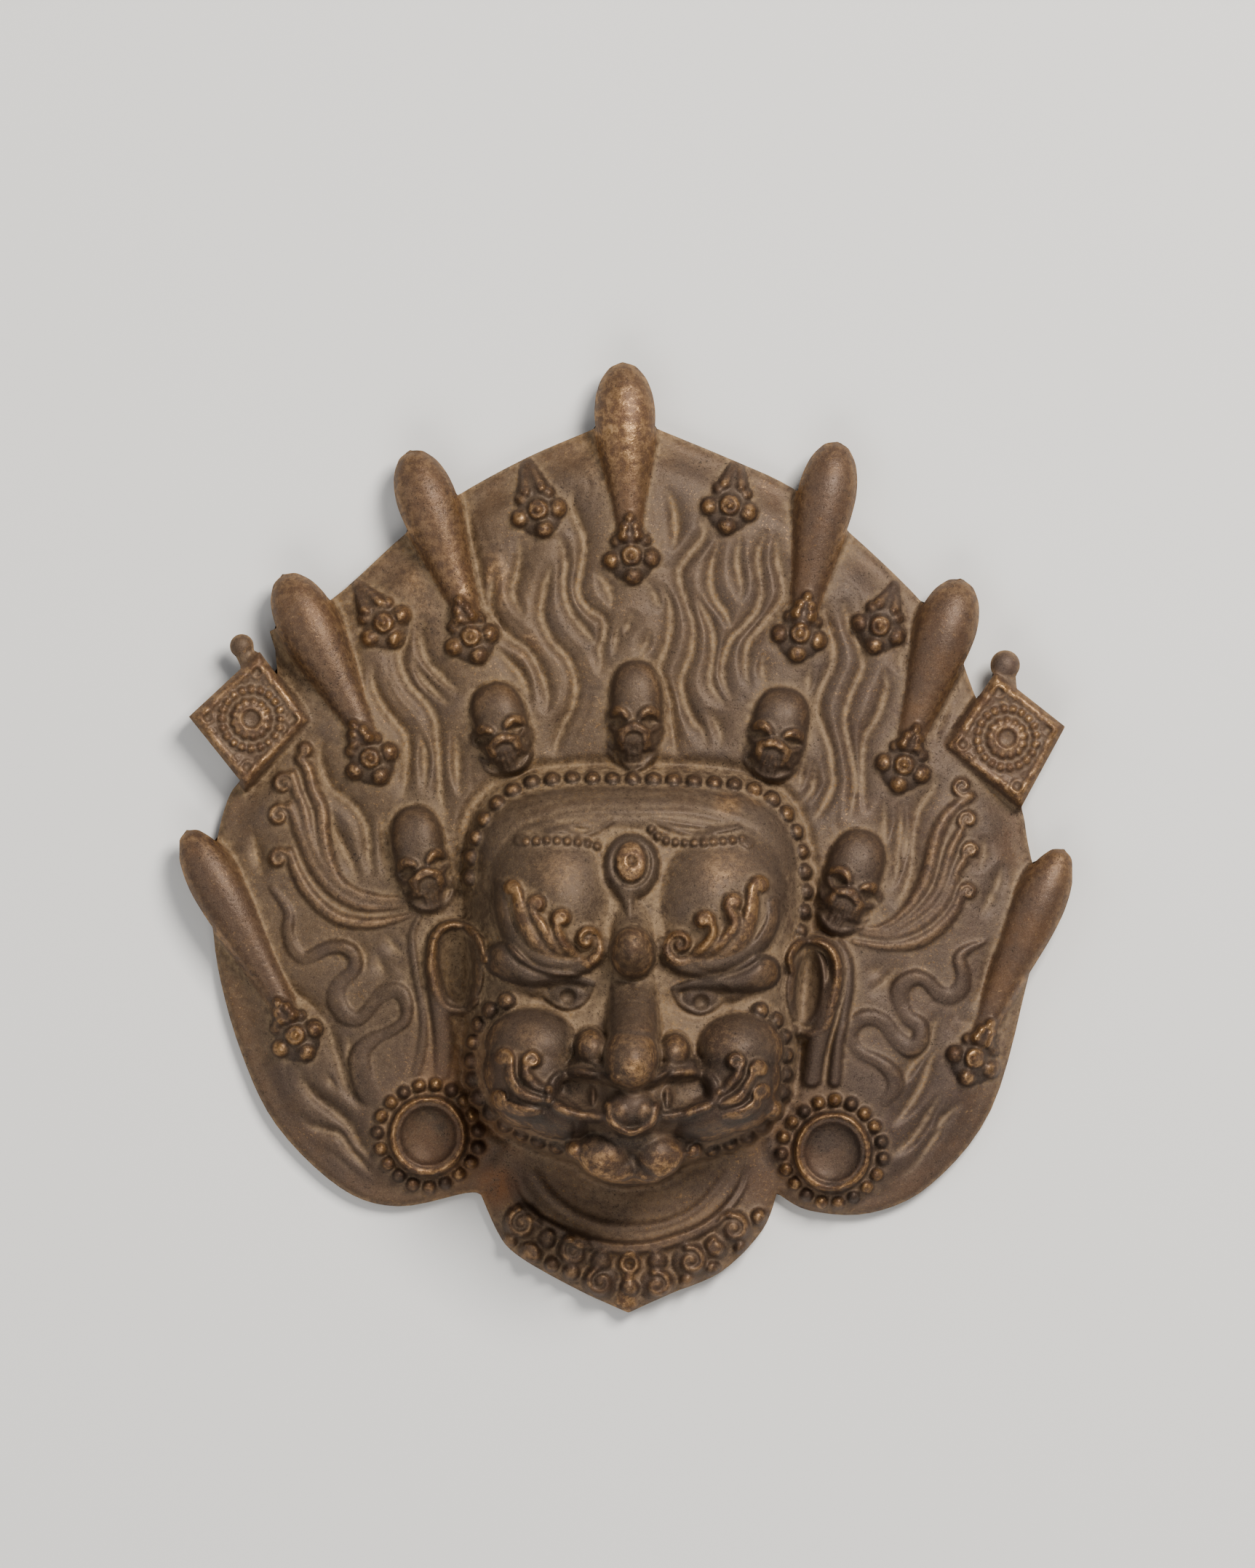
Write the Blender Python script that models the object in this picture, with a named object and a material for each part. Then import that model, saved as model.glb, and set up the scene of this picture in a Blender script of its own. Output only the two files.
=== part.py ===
"""A cast bronze mask of a wrathful guardian with a third eye, lying on its back, face up.

The whole mask is one hollow casting: a fan of flame-like hair edged with seven clubs and two square
plaques, a high-relief face, five skulls, two ear discs and a pointed collar. The front and the hollow
back are two height fields over one outline. X runs to the right of the face, Y towards the crown and
Z out of the face, and the flat rim of the back lies on z = 0.
"""

import math

import bmesh
import bpy
import numpy as np

# Overall sizes, in metres
MASK_HEIGHT = 0.200
GRID_PITCH = 0.0007

# The sizes below are in millimetres, for a mask of this drawn height
DRAWN_HEIGHT = 200.0
UNIT = MASK_HEIGHT / DRAWN_HEIGHT
TRIANGLES = 9600
GRID_MARGIN = 8.0
WALL = 3.6
LEAST_WALL = 2.4
RIM_WIDTH = 5.0
RIM_RUN = 7.0
EDGE_THICK = 2.3
EDGE_ROUND = 1.6
PLATE_RISE = 8.5
PLATE_RUN = 20.0
FACE_X = 2.6

# The outline of the plate, in runs that join at corners
TOP_RIGHT = [
    (0.0, 89.2), (6.7, 86.4), (22.9, 79.7), (35.7, 73.7), (47.9, 64.2), (63.3, 49.3), (71.5, 37.3),
]
SIDE_RIGHT = [(71.5, 37.3), (74.4, 29.4), (79.1, 17.1), (83.9, 6.5), (85.4, -1.3), (88.2, -14.3)]
LOBE_RIGHT = [
    (88.2, -14.3), (85.1, -30.8), (77.6, -57.3), (64.9, -73.1), (52.1, -79.1), (39.4, -78.6),
    (32.5, -74.9),
]
COLLAR_RIGHT = [(32.5, -74.9), (29.3, -82.9), (20.7, -91.5), (10.0, -96.1), (1.2, -100.1)]
COLLAR_LEFT = [(1.2, -100.1), (-9.0, -95.5), (-20.2, -89.3), (-25.5, -84.6), (-29.9, -75.2)]
LOBE_LEFT = [
    (-29.9, -75.2), (-33.1, -74.9), (-47.4, -77.7), (-59.5, -73.8), (-72.9, -60.7), (-80.4, -45.2),
    (-85.3, -27.4), (-86.8, -12.0),
]
SIDE_LEFT = [(-86.8, -12.0), (-85.3, 0.4), (-82.8, 9.0), (-79.3, 14.0), (-76.7, 23.2), (-72.7, 34.7)]
NOTCH_LEFT = [(-72.7, 34.7), (-73.2, 39.6), (-74.4, 43.5)]
TOP_LEFT = [
    (-74.4, 43.5), (-61.5, 50.1), (-46.0, 63.9), (-34.5, 72.3), (-19.6, 80.4), (-5.5, 86.4), (0.0, 89.2),
]
OUTLINE_RUNS = [
    TOP_RIGHT, SIDE_RIGHT, LOBE_RIGHT, COLLAR_RIGHT, COLLAR_LEFT, LOBE_LEFT, SIDE_LEFT, NOTCH_LEFT,
        TOP_LEFT,
]
STRAIGHT_RUNS = (NOTCH_LEFT,)

# Clubs round the edge: the tip, then the foot
CLUBS = [
    ((0.0, 100.1), (1.5, 63.9)),
    ((-44.9, 81.5), (-32.7, 47.0)),
    ((45.2, 83.4), (37.7, 46.2)),
    ((-71.6, 55.4), (-54.1, 21.7)),
    ((71.5, 54.4), (60.0, 20.2)),
    ((-91.9, 1.5), (-70.2, -37.3)),
    ((92.8, -2.4), (75.0, -41.9)),
]
CLUB_ALONG = (0.0, 0.02, 0.05, 0.1, 0.16, 0.22, 0.3, 0.42, 0.55, 0.75, 1.0)
CLUB_HALF = (0.0, 2.3, 3.5, 4.8, 5.65, 6.15, 6.4, 6.1, 5.3, 3.9, 2.6)
CLUB_SIZE = (1.0, 0.98, 0.96, 1.0, 1.0, 0.86, 0.86)
CLUB_AXIS = 6.4
CLUB_FOOT_LIFT = 0.8

# Flower clusters of small balls: the ones at the club feet, then the ones with a cone of berries
FOOT_FLOWERS = [
    (1.8, 59.4), (-31.9, 42.4), (37.3, 43.0), (-53.1, 16.8), (59.2, 15.4), (-68.9, -41.5), (74.1, -46.4),
]
CONE_FLOWERS = [
    ((-17.8, 69.1), (-20.2, 78.8)),
    ((22.5, 70.0), (24.1, 78.8)),
    ((-50.3, 45.2), (-55.4, 52.7)),
    ((54.1, 44.6), (56.9, 52.1)),
]
BALL = 2.2

# Skulls in the hair: the top of the cranium, the bottom of the jaw, and the half width
SKULLS = [
    ((2.8, 37.3), (2.9, 14.6), 5.8),
    ((-28.2, 32.4), (-22.1, 14.0), 6.0),
    ((34.4, 31.5), (31.0, 12.2), 6.2),
    ((-44.3, 6.7), (-40.8, -15.4), 5.8),
    ((51.2, 1.5), (44.5, -20.0), 6.3),
]
SKULL_RISE = 7.5

# Square plaques at the two sides, by their four corners, and the knobs beside them
PLAQUES = [
    [(-76.5, 39.2), (-91.3, 25.5), (-79.3, 10.5), (-65.6, 24.8)],
    [(78.5, 34.9), (67.6, 19.1), (83.9, 6.5), (93.1, 23.4)],
]
PLAQUE_TOP = 9.5
PLAQUE_UNDER = 4.0
KNOBS = [((-80.2, 40.4), (-77.3, 34.0), 2.5), ((80.5, 36.4), (81.1, 29.4), 3.1)]
KNOB_STEM = 2.0
KNOB_AXIS = 6.3

# Ear discs and ears
DISCS = [(-40.9, -62.7), (44.1, -66.1)]
DISC_RIM = 7.4
DISC_BEADS = 19
DISC_BEAD_RING = 10.5
DISC_BEAD = 1.5

EAR_HOOKS = [
    [(-29.3, -25.7), (-30.3, -21.5), (-33.2, -18.7), (-36.6, -18.4), (-39.2, -20.4), (-40.1, -24.2),
    (-40.1, -28.3), (-39.2, -32.5),
     (-37.3, -35.5), (-33.9, -36.2), (-31.2, -34.3)],
    [(36.0, -28.9), (35.2, -25.3), (37.1, -22.4), (40.3, -21.7), (43.3, -23.0), (44.9, -26.2),
    (44.9, -30.6), (43.7, -35.5),
     (42.5, -39.6), (39.5, -41.3), (36.5, -40.4)],
]
EAR_LOBES = [
    [(-40.0, -26.8), (-38.8, -34.3), (-37.7, -41.9), (-37.9, -49.3)],
    [(44.4, -31.3), (42.5, -38.1), (40.6, -44.1), (39.7, -50.5)],
]
EAR_HOLLOWS = [((-34.8, -27.2), 3.9, 7.6, 0.1), ((39.0, -31.3), 2.9, 7.6, -0.08)]
STRAPS = [
    [(-42.8, -16.6), (-44.3, -20.4), (-43.7, -26.8), (-42.6, -32.8), (-41.8, -38.9), (-42.2, -44.1),
    (-43.4, -49.4)],
    [(44.9, -21.9), (47.1, -25.3), (47.5, -30.6), (46.4, -37.4), (45.2, -43.4), (44.5, -51.1)],
]

# Folded ribbons: their middle line, and half their width at each point
RIBBONS = [
    (
        [
            (-73.9, -10.6), (-72.0, -12.9), (-70.3, -15.9), (-70.5, -19.7), (-69.3, -23.4),
            (-66.7, -25.3), (-62.6, -23.4), (-59.4, -22.9),
            (-56.7, -24.5), (-56.5, -27.6), (-59.4, -30.6), (-60.3, -33.6), (-58.8, -37.0),
            (-55.8, -38.1), (-53.2, -35.8), (-50.5, -32.8),
            (-47.5, -32.1), (-45.6, -34.3), (-45.6, -38.1), (-48.3, -40.4), (-52.8, -42.6),
            (-55.2, -45.6), (-55.0, -49.4), (-53.5, -53.2),
            (-51.6, -55.4),
        ],
        (0.9, 1.2, 1.35, 1.5, 1.65, 1.65, 1.65, 1.65, 1.65, 1.7, 2.1, 2.3, 2.1, 1.7, 1.7, 2.1, 1.9, 1.5,
         1.35, 1.35, 1.9,
         2.3, 2.5, 2.8, 2.6),
    ),
    (
        [
            (76.1, -21.9), (72.7, -23.4), (70.8, -25.3), (71.5, -28.3), (71.3, -31.3), (69.3, -33.2),
            (66.6, -32.8), (64.0, -30.2),
            (61.4, -29.4), (58.7, -31.3), (58.4, -34.3), (59.9, -37.7), (62.5, -39.6), (62.5, -42.6),
            (60.2, -44.1), (57.2, -41.9),
            (55.0, -38.9), (51.6, -37.7), (48.7, -39.2), (47.8, -42.2), (50.1, -45.3), (53.8, -47.1),
            (56.5, -49.4), (57.2, -52.4),
            (55.0, -55.4),
        ],
        (0.6, 1.1, 1.5, 1.65, 2.1, 2.1, 1.65, 1.65, 2.1, 2.25, 1.9, 1.9, 1.9, 2.25, 2.1, 1.95, 1.95, 1.95,
         1.95, 1.8, 1.65,
         1.65, 1.95, 1.95, 1.65),
    ),
]

# Leaf fans: each band from its root to its scroll, then the scroll's centre, radius and turning
FANS = [
    ([(-45.2, -12.5), (-49.5, -12.9), (-53.3, -12.4), (-57.2, -11.2), (-60.2, -8.7), (-62.0, -4.8),
    (-62.8, -1.8), (-63.2, 1.7),
      (-63.5, 6.0), (-65.4, 10.3), (-66.3, 14.2), (-68.0, 16.7)], (-67.1, 18.7), 1.4, 1),
    ([(-45.6, -13.3), (-52.1, -13.4), (-56.4, -12.2), (-59.8, -10.0), (-62.8, -6.5), (-65.0, -2.6),
    (-66.3, 1.7), (-67.2, 6.0),
      (-68.8, 10.3), (-69.7, 13.3)], (-71.4, 11.4), 2.1, 1),
    ([(-45.2, -14.0), (-49.9, -14.6), (-55.1, -14.2), (-59.4, -12.2), (-62.8, -9.1), (-65.4, -5.2),
    (-67.1, -1.3), (-68.8, 3.4),
      (-70.1, 6.8)], (-72.3, 4.7), 2.2, 1),
    ([(-43.0, -15.8), (-46.5, -16.8), (-51.6, -17.9), (-56.4, -17.8), (-60.2, -16.8), (-63.7, -14.3),
    (-66.7, -10.8), (-68.8, -6.9),
      (-70.1, -3.1)], (-72.4, -4.4), 2.0, 1),
    ([(49.4, -18.8), (53.5, -19.1), (57.6, -17.2), (60.9, -13.9), (63.3, -10.1), (64.8, -5.6),
    (65.8, -0.7),
      (67.4, 3.4), (70.3, 6.7), (73.0, 8.8)], (71.5, 10.8), 2.1, -1),
    ([(49.8, -19.2), (55.9, -19.7), (60.0, -17.6), (63.7, -14.7), (66.6, -10.9), (67.9, -6.8),
    (69.1, -2.7),
      (70.9, 1.0)], (72.6, 3.8), 2.0, -1),
    ([(49.8, -20.0), (55.9, -20.8), (60.0, -19.7), (64.2, -17.2), (67.4, -13.8), (69.1, -10.1),
    (70.3, -6.8),
      (71.8, -4.6)], (73.2, -2.7), 1.8, -1),
    ([(48.5, -21.8), (54.3, -22.8), (60.0, -22.4), (63.3, -21.2), (66.6, -18.8), (69.5, -15.5),
    (70.9, -12.2)],
     (72.6, -11.4), 1.8, -1),
]

# The outline of the head, and the height of its middle line at places from the crown to the chin
HEAD_OUTLINE = [
    (-33.6, -15.1), (-33.1, 0.2), (-29.8, 8.2), (-20.9, 13.7), (2.1, 15.3), (25.2, 13.7), (35.0, 8.2),
    (38.6, -1.3), (39.3, -16.6), (37.1, -35.0), (36.5, -48.8), (32.5, -59.0), (22.9, -65.7),
    (12.9, -69.2), (1.8, -72.6),
    (-8.6, -69.2), (-17.8, -66.0), (-28.2, -59.7), (-33.1, -48.8), (-33.1, -35.0),
]
HEAD_MIDDLE = [
    (18, 21), (8, 27), (-3, 31), (-14, 33), (-24, 34), (-36, 33), (-48, 35), (-58, 36), (-67, 35),
    (-76, 30),
]
HEAD_SIDE_RUN = 11.0
HEAD_FALL = 7.0
HEAD_HALF = 34.0

# Deeper places of the hollow back, under the nose, the cheeks and the chin
FACE_HOLLOWS = [
    ((2.3, -44.2), 9.0, 20.0, 10.0),
    ((-20.4, -44.2), 11.0, 12.0, 5.0),
    ((24.5, -45.8), 11.0, 12.0, 5.0),
    ((1.8, -62.7), 16.0, 9.0, 4.0),
]

# Bead rows: the path, the number and the size
BEAD = 1.75

# Hair locks: how high they stand, their pitch at the top and in the lobes, and how they wave
HAIR_RISE = 1.4
LOCK_ANGLE = 0.062
LOCK_PITCH = 5.2
LOCK_SWING = 0.32
LOCK_WAVE = 23.0
CROWN_BEADS = [
    (-31.8, -8.4), (-31.4, -3.3), (-30.2, 1.3), (-28.0, 5.0), (-25.2, 7.9), (-21.8, 10.5),
    (-18.3, 11.5), (-10.3, 12.2), (-1.8, 12.0), (7.0, 11.8),
    (15.7, 11.5), (24.3, 10.8), (28.2, 9.7), (31.6, 7.6), (34.4, 4.6), (36.1, 1.4), (37.4, -2.5),
    (37.9, -7.1),
]
CROWN_COUNT = 25
CROWN_SIDE = [(37.9, -7.1), (38.3, -11.8), (37.7, -16.9), (37.2, -19.6)]
SIDE_BEADS = [
    ([(-24.1, -34.2), (-27.1, -35.8), (-29.5, -38.3), (-30.9, -41.7), (-31.6, -45.8), (-31.3, -50.5),
    (-29.7, -54.8), (-26.5, -58.8),
      (-21.4, -62.1), (-17.0, -63.7), (-13.3, -64.7), (-9.9, -65.5)], 13),
    ([(28.5, -36.3), (31.1, -37.7), (33.1, -39.9), (34.1, -43.7), (34.1, -48.4), (33.6, -52.8),
    (31.7, -56.7), (27.9, -61.3),
      (23.2, -63.7), (19.0, -65.2), (14.7, -65.5)], 12),
]


def smooth(points, per=5):
    """A smooth line through the points."""
    held = np.array([points[0]] + list(points) + [points[-1]], float)
    made = []
    for i in range(1, len(held) - 2):
        a, b, c, d = held[i - 1 : i + 3]
        for t in np.arange(per) / per:
            square = 2 * a - 5 * b + 4 * c - d
            cube = 3 * b - a - 3 * c + d
            made.append(0.5 * (2 * b + (c - a) * t + square * t**2 + cube * t**3))
    made.append(held[-1])
    return np.array(made)


def spiral(centre, radius, start, turns, hand=1, steps=16):
    """A line that curls in from the radius to the centre."""
    t = np.linspace(0, 1, steps)
    angle = start + hand * turns * 2 * math.pi * t
    r = radius * (1 - 0.85 * t)
    return np.stack([centre[0] + r * np.cos(angle), centre[1] + r * np.sin(angle)], axis=1)


def along_line(x, y, path):
    """The distance from each place to the path, and how far along the path it is, from 0 to 1."""
    path = np.asarray(path, float)
    step = np.hypot(*(path[1:] - path[:-1]).T)
    reached = np.concatenate([[0], np.cumsum(step)])
    best = np.full(x.shape, 1e9)
    along = np.zeros(x.shape)
    for (ax, ay), (bx, by), length, start in zip(path[:-1], path[1:], step, reached):
        if length == 0:
            continue
        t = np.clip(((x - ax) * (bx - ax) + (y - ay) * (by - ay)) / length**2, 0, 1)
        d = np.hypot(x - ax - t * (bx - ax), y - ay - t * (by - ay))
        nearer = d < best
        best = np.where(nearer, d, best)
        along = np.where(nearer, start + t * length, along)
    return best, along / reached[-1]


def inside_depth(x, y, loop):
    """The distance to the closed loop, positive inside it."""
    loop = np.asarray(loop, float)
    closed = np.concatenate([loop, loop[:1]])
    depth, _ = along_line(x, y, closed)
    crossings = np.zeros(x.shape, bool)
    for (ax, ay), (bx, by) in zip(closed[:-1], closed[1:]):
        if ay == by:
            continue
        spans = (ay > y) != (by > y)
        crossings ^= spans & (x < ax + (y - ay) * (bx - ax) / (by - ay))
    return np.where(crossings, depth, -depth)


def step_up(value, low, high):
    t = np.clip((value - low) / (high - low), 0, 1)
    return t * t * (3 - 2 * t)


def outline():
    points = []
    for run in OUTLINE_RUNS:
        line = np.array(run) if run in STRAIGHT_RUNS else smooth(run)
        points.extend(line[:-1])
    return np.array(points)


# Relief on a height field


class Field:
    """Heights z over the places x, y. Relief is measured from the base kept at the last settle."""

    def __init__(self, x, y, z):
        self.x = x
        self.y = y
        self.z = z
        self.base = z.copy()

    def settle(self):
        self.base = self.z.copy()

    def near(self, low, high):
        x, y = self.x, self.y
        return np.flatnonzero((x > low[0]) & (x < high[0]) & (y > low[1]) & (y < high[1]))

    def put(self, index, rise):
        """Raises to the rise above the base, or lowers to it where it is negative."""
        up = np.maximum(self.z[index], self.base[index] + rise)
        down = np.minimum(self.z[index], self.base[index] + rise)
        self.z[index] = np.where(rise > 0, up, np.where(rise < 0, down, self.z[index]))

    def dome(self, at, rx, ry, rise, turn=0.0, sharp=0.5):
        reach = max(rx, ry)
        i = self.near((at[0] - reach, at[1] - reach), (at[0] + reach, at[1] + reach))
        dx = self.x[i] - at[0]
        dy = self.y[i] - at[1]
        u = dx * math.cos(turn) + dy * math.sin(turn)
        v = dy * math.cos(turn) - dx * math.sin(turn)
        q = np.clip(1 - (u / rx) ** 2 - (v / ry) ** 2, 0, 1)
        self.put(i, rise * q**sharp)

    def ridge(self, path, half, rise, sharp=0.5):
        """A raised line. Half width and rise are numbers, or a row of them spread along the path."""
        path = np.asarray(path, float)
        half = np.atleast_1d(np.asarray(half, float))
        rise = np.atleast_1d(np.asarray(rise, float))
        reach = half.max()
        i = self.near(path.min(axis=0) - reach, path.max(axis=0) + reach)
        d, t = along_line(self.x[i], self.y[i], path)
        w = np.interp(t, np.linspace(0, 1, len(half)), half)
        h = np.interp(t, np.linspace(0, 1, len(rise)), rise)
        q = np.clip(1 - (d / np.maximum(w, 1e-6)) ** 2, 0, 1)
        self.put(i, h * q**sharp)

    def ball(self, at, rx, ry, rise, level=1.0, sharp=0.5):
        """A boss whose foot is level with the base under its middle, so that it stands clear of a slope."""
        i = self.near((at[0] - rx, at[1] - ry), (at[0] + rx, at[1] + ry))
        q = np.clip(1 - ((self.x[i] - at[0]) / rx) ** 2 - ((self.y[i] - at[1]) / ry) ** 2, 0, 1)
        foot = level * (self.base[i[np.argmax(q)]] - self.base[i])
        self.put(i, np.where(q > 0, np.maximum(foot + rise * q**sharp, 0), 0))

    def ring(self, at, radius, half, rise, sharp=0.5, squash=1.0, turn=0.0):
        reach = radius + half
        i = self.near((at[0] - reach, at[1] - reach), (at[0] + reach, at[1] + reach))
        dx = self.x[i] - at[0]
        dy = self.y[i] - at[1]
        u = dx * math.cos(turn) + dy * math.sin(turn)
        v = (dy * math.cos(turn) - dx * math.sin(turn)) / squash
        d = np.abs(np.hypot(u, v) - radius)
        q = np.clip(1 - (d / half) ** 2, 0, 1)
        self.put(i, rise * q**sharp)

    def beads(self, path, count, radius, rise):
        path = np.asarray(path, float)
        step = np.hypot(*(path[1:] - path[:-1]).T)
        reached = np.concatenate([[0], np.cumsum(step)])
        for s in np.linspace(0, reached[-1], count):
            at = (np.interp(s, reached, path[:, 0]), np.interp(s, reached, path[:, 1]))
            self.ball(at, radius, radius, rise)

    def scroll(self, at, radius, start, hand, half, rise, turns=1.3):
        self.ridge(spiral(at, radius, start, turns, hand), half, rise, 0.6)


def frame_of(foot, tip):
    """A function that turns a place (across, along) in a local frame into a place on the mask."""
    ax, ay = tip[0] - foot[0], tip[1] - foot[1]
    length = math.hypot(ax, ay)
    ax, ay = ax / length, ay / length
    return (lambda u, v: (foot[0] + u * ay + v * ax, foot[1] - u * ax + v * ay)), math.atan2(-ax,
        ay), length


# The smooth shape under the relief


def plate_height(depth):
    edge = EDGE_THICK + EDGE_ROUND * np.sqrt(1 - (1 - np.clip(depth / EDGE_ROUND, 0, 1)) ** 2)
    return edge + PLATE_RISE * (1 - np.exp(-np.clip(depth, 0, None) / PLATE_RUN))


def head_height(x, y):
    ys = [p[0] for p in HEAD_MIDDLE][::-1]
    zs = [p[1] for p in HEAD_MIDDLE][::-1]
    middle = (np.interp(y - 2, ys, zs) + np.interp(y, ys, zs) + np.interp(y + 2, ys, zs)) / 3
    return middle - HEAD_FALL * ((x - FACE_X) / HEAD_HALF) ** 2


def neck_dish(x, y):
    """How much the dish between the chin and the collar lowers the plate."""
    q = 1 - ((x - FACE_X) / 24.0) ** 2 - ((y + 70.0) / 14.0) ** 2
    return 4.0 * np.clip(q, 0, 1)


def smooth_front(x, y, depth, lower=0.0):
    """The plate with the head on it, without its relief. Lower draws the head in, for the hollow back."""
    plate = plate_height(depth) - neck_dish(x, y) - lower
    head = inside_depth(x, y, smooth(HEAD_OUTLINE + HEAD_OUTLINE[:1]))
    side = 1 - (1 - np.clip((head - lower) / HEAD_SIDE_RUN, 0, 1)) ** 2.4
    return plate + np.maximum(head_height(x, y) - lower - plate, 0) * side


# The relief of each part


def hair_locks(f, depth):
    """Wavy locks from the face to the edge of the plate. Later relief is measured from under them."""
    dx = f.x - FACE_X
    dy = f.y + 62.0
    r = np.hypot(dx, dy)
    turn = np.arctan2(dx, dy)
    drift = 0.9 * np.sin(turn * 11.0 + 1.0) + 0.7 * np.sin(turn * 4.3)
    wave = LOCK_SWING * np.sin(2 * math.pi * r / LOCK_WAVE + drift) + 0.2 * np.sin(r / 11.0 - turn * 6.0)
    upper = 0.5 + 0.5 * np.cos(2 * math.pi * (turn / LOCK_ANGLE + wave))
    bend = 0.35 * np.sin(turn * 16.0) + 0.3 * np.sin(turn * 7.0 + f.x / 9.0)
    lower = 0.5 + 0.5 * np.cos(2 * math.pi * (depth / LOCK_PITCH + bend))
    mix = step_up(f.y, -34, -18)
    lock = upper * mix + lower * (1 - mix)
    head = inside_depth(f.x, f.y, smooth(HEAD_OUTLINE + HEAD_OUTLINE[:1]))
    dish = ((f.x - FACE_X) / 31.0) ** 2 + ((f.y + 78.0) / 24.0) ** 2
    margin = step_up(depth, 2.5, 8.0) * step_up(-head, 0.5, 3.0) * step_up(dish, 0.9, 1.2)
    f.z += HAIR_RISE * (lock**0.7 - 0.4) * margin


def club_half(t, size):
    """Half the width of a club, at a place along it from its tip to its foot."""
    return size * np.interp(t, CLUB_ALONG, CLUB_HALF)


def club(f, tip, foot, plate_at_foot, size):
    path = np.array([tip, foot])
    i = f.near(path.min(axis=0) - 7, path.max(axis=0) + 7)
    d, t = along_line(f.x[i], f.y[i], path)
    half = club_half(t, size)
    axis = CLUB_AXIS + (plate_at_foot + CLUB_FOOT_LIFT - CLUB_AXIS) * t
    round_ = np.sqrt(np.clip(1 - (d / np.maximum(half, 1e-6)) ** 2, 0, 1))
    top = np.where(d < half + 0.3, axis + 0.95 * half * round_, -1e3)
    f.z[i] = np.maximum(f.z[i], top)


def flower(f, at, lean, cone=0.0):
    """A nested ball with balls round it, and smaller ones up a tapering stem."""
    c, s = math.cos(lean), math.sin(lean)

    def place(u, v):
        return (at[0] + u * c - v * s, at[1] + u * s + v * c)

    stem = cone + 1.0 if cone else 8.0
    f.ridge([place(0, -1.0), place(0, 3.5), place(0, stem)], (4.8, 3.6, 1.2), (2.2, 2.4, 1.2), 0.6)
    for u, v, size in ((3.9, -0.7, 1.0), (-4.0, -0.9, 0.95), (0.2, -4.1, 1.0), (2.8, 3.0, 0.72), (-2.7,
            3.1, 0.72)):
        f.dome(place(u, v), BALL * size, BALL * size, 3.6 * size)
    steps = 6 if cone else 3
    for k in range(steps):
        size = BALL * (0.66 - 0.055 * k)
        v = 4.4 + (cone - 5.0) * k / (steps - 1) if cone else 4.0 + 1.8 * k
        spread = 1.7 * (1 - 0.8 * k / steps)
        for u in ((-spread, spread) if k < steps - 1 else (0.0,)):
            f.dome(place(u, v), size, size * 1.15, 3.6 - 0.4 * k, lean)
    f.dome(at, 2.6, 2.6, 4.4)
    f.ring(at, 1.75, 0.35, 4.5)
    f.dome(at, 1.4, 1.4, 5.4)


def skull(f, top, bottom, half):
    """A tall dome with heavy brows, round eyes, a curled lip over a fan of teeth, and a jaw."""
    at, turn, length = frame_of(bottom, top)
    f.dome(at(0, length * 0.6), half, length * 0.42, SKULL_RISE, turn, 0.45)
    f.dome(at(0, length * 0.38), half * 1.02, length * 0.26, SKULL_RISE * 0.82, turn, 0.5)
    f.dome(at(0, length * 0.17), half * 0.74, length * 0.2, SKULL_RISE * 0.72, turn, 0.5)
    held = f.base
    f.settle()
    f.ridge([at(-half * 0.8, length * 0.5), at(half * 0.8, length * 0.5)], 1.2, -0.7, 1.0)
    for side in (-1, 1):
        eye = at(side * half * 0.48, length * 0.44)
        f.ring(eye, half * 0.33, 0.55, 1.3, squash=0.9, turn=turn)
        f.dome(eye, half * 0.27, half * 0.25, -1.5, turn, 0.7)
        brow = [
            at(side * half * 0.1, length * 0.51), at(side * half * 0.5, length * 0.56),
                at(side * half * 0.92, length * 0.5),
        ]
        f.ridge(smooth(brow), (0.6, 0.9, 0.6), (1.5, 1.8, 1.0))
        f.dome(at(side * half * 0.62, length * 0.31), half * 0.3, length * 0.06, 1.2, turn)
    f.dome(at(0, length * 0.39), half * 0.17, length * 0.075, 1.9, turn)
    for side in (-1, 1):
        lip = [
            at(0, length * 0.3), at(side * half * 0.28, length * 0.33), at(side * half * 0.55,
                length * 0.27),
               at(side * half * 0.7, length * 0.19), at(side * half * 0.92, length * 0.24)]
        f.ridge(smooth(lip), (0.8, 1.0, 0.5), (1.8, 2.3, 1.0))
    f.settle()
    for k in range(-2, 3):
        foot = at(k * half * 0.17, length * (0.08 + 0.012 * k * k))
        f.ridge([at(k * half * 0.16, length * 0.25), foot], (0.5, 0.65), (1.1, 1.0), 0.5)
    f.settle()
    jaw = [
        at(-half * 0.85, length * 0.2), at(-half * 0.55, length * 0.04), at(0, -length * 0.03),
            at(half * 0.55, length * 0.04),
           at(half * 0.85, length * 0.2)]
    f.ridge(smooth(jaw), (0.5, 0.8, 0.9, 0.8, 0.5), (0.6, 1.3, 1.4, 1.3, 0.6))
    f.base = held


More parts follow.
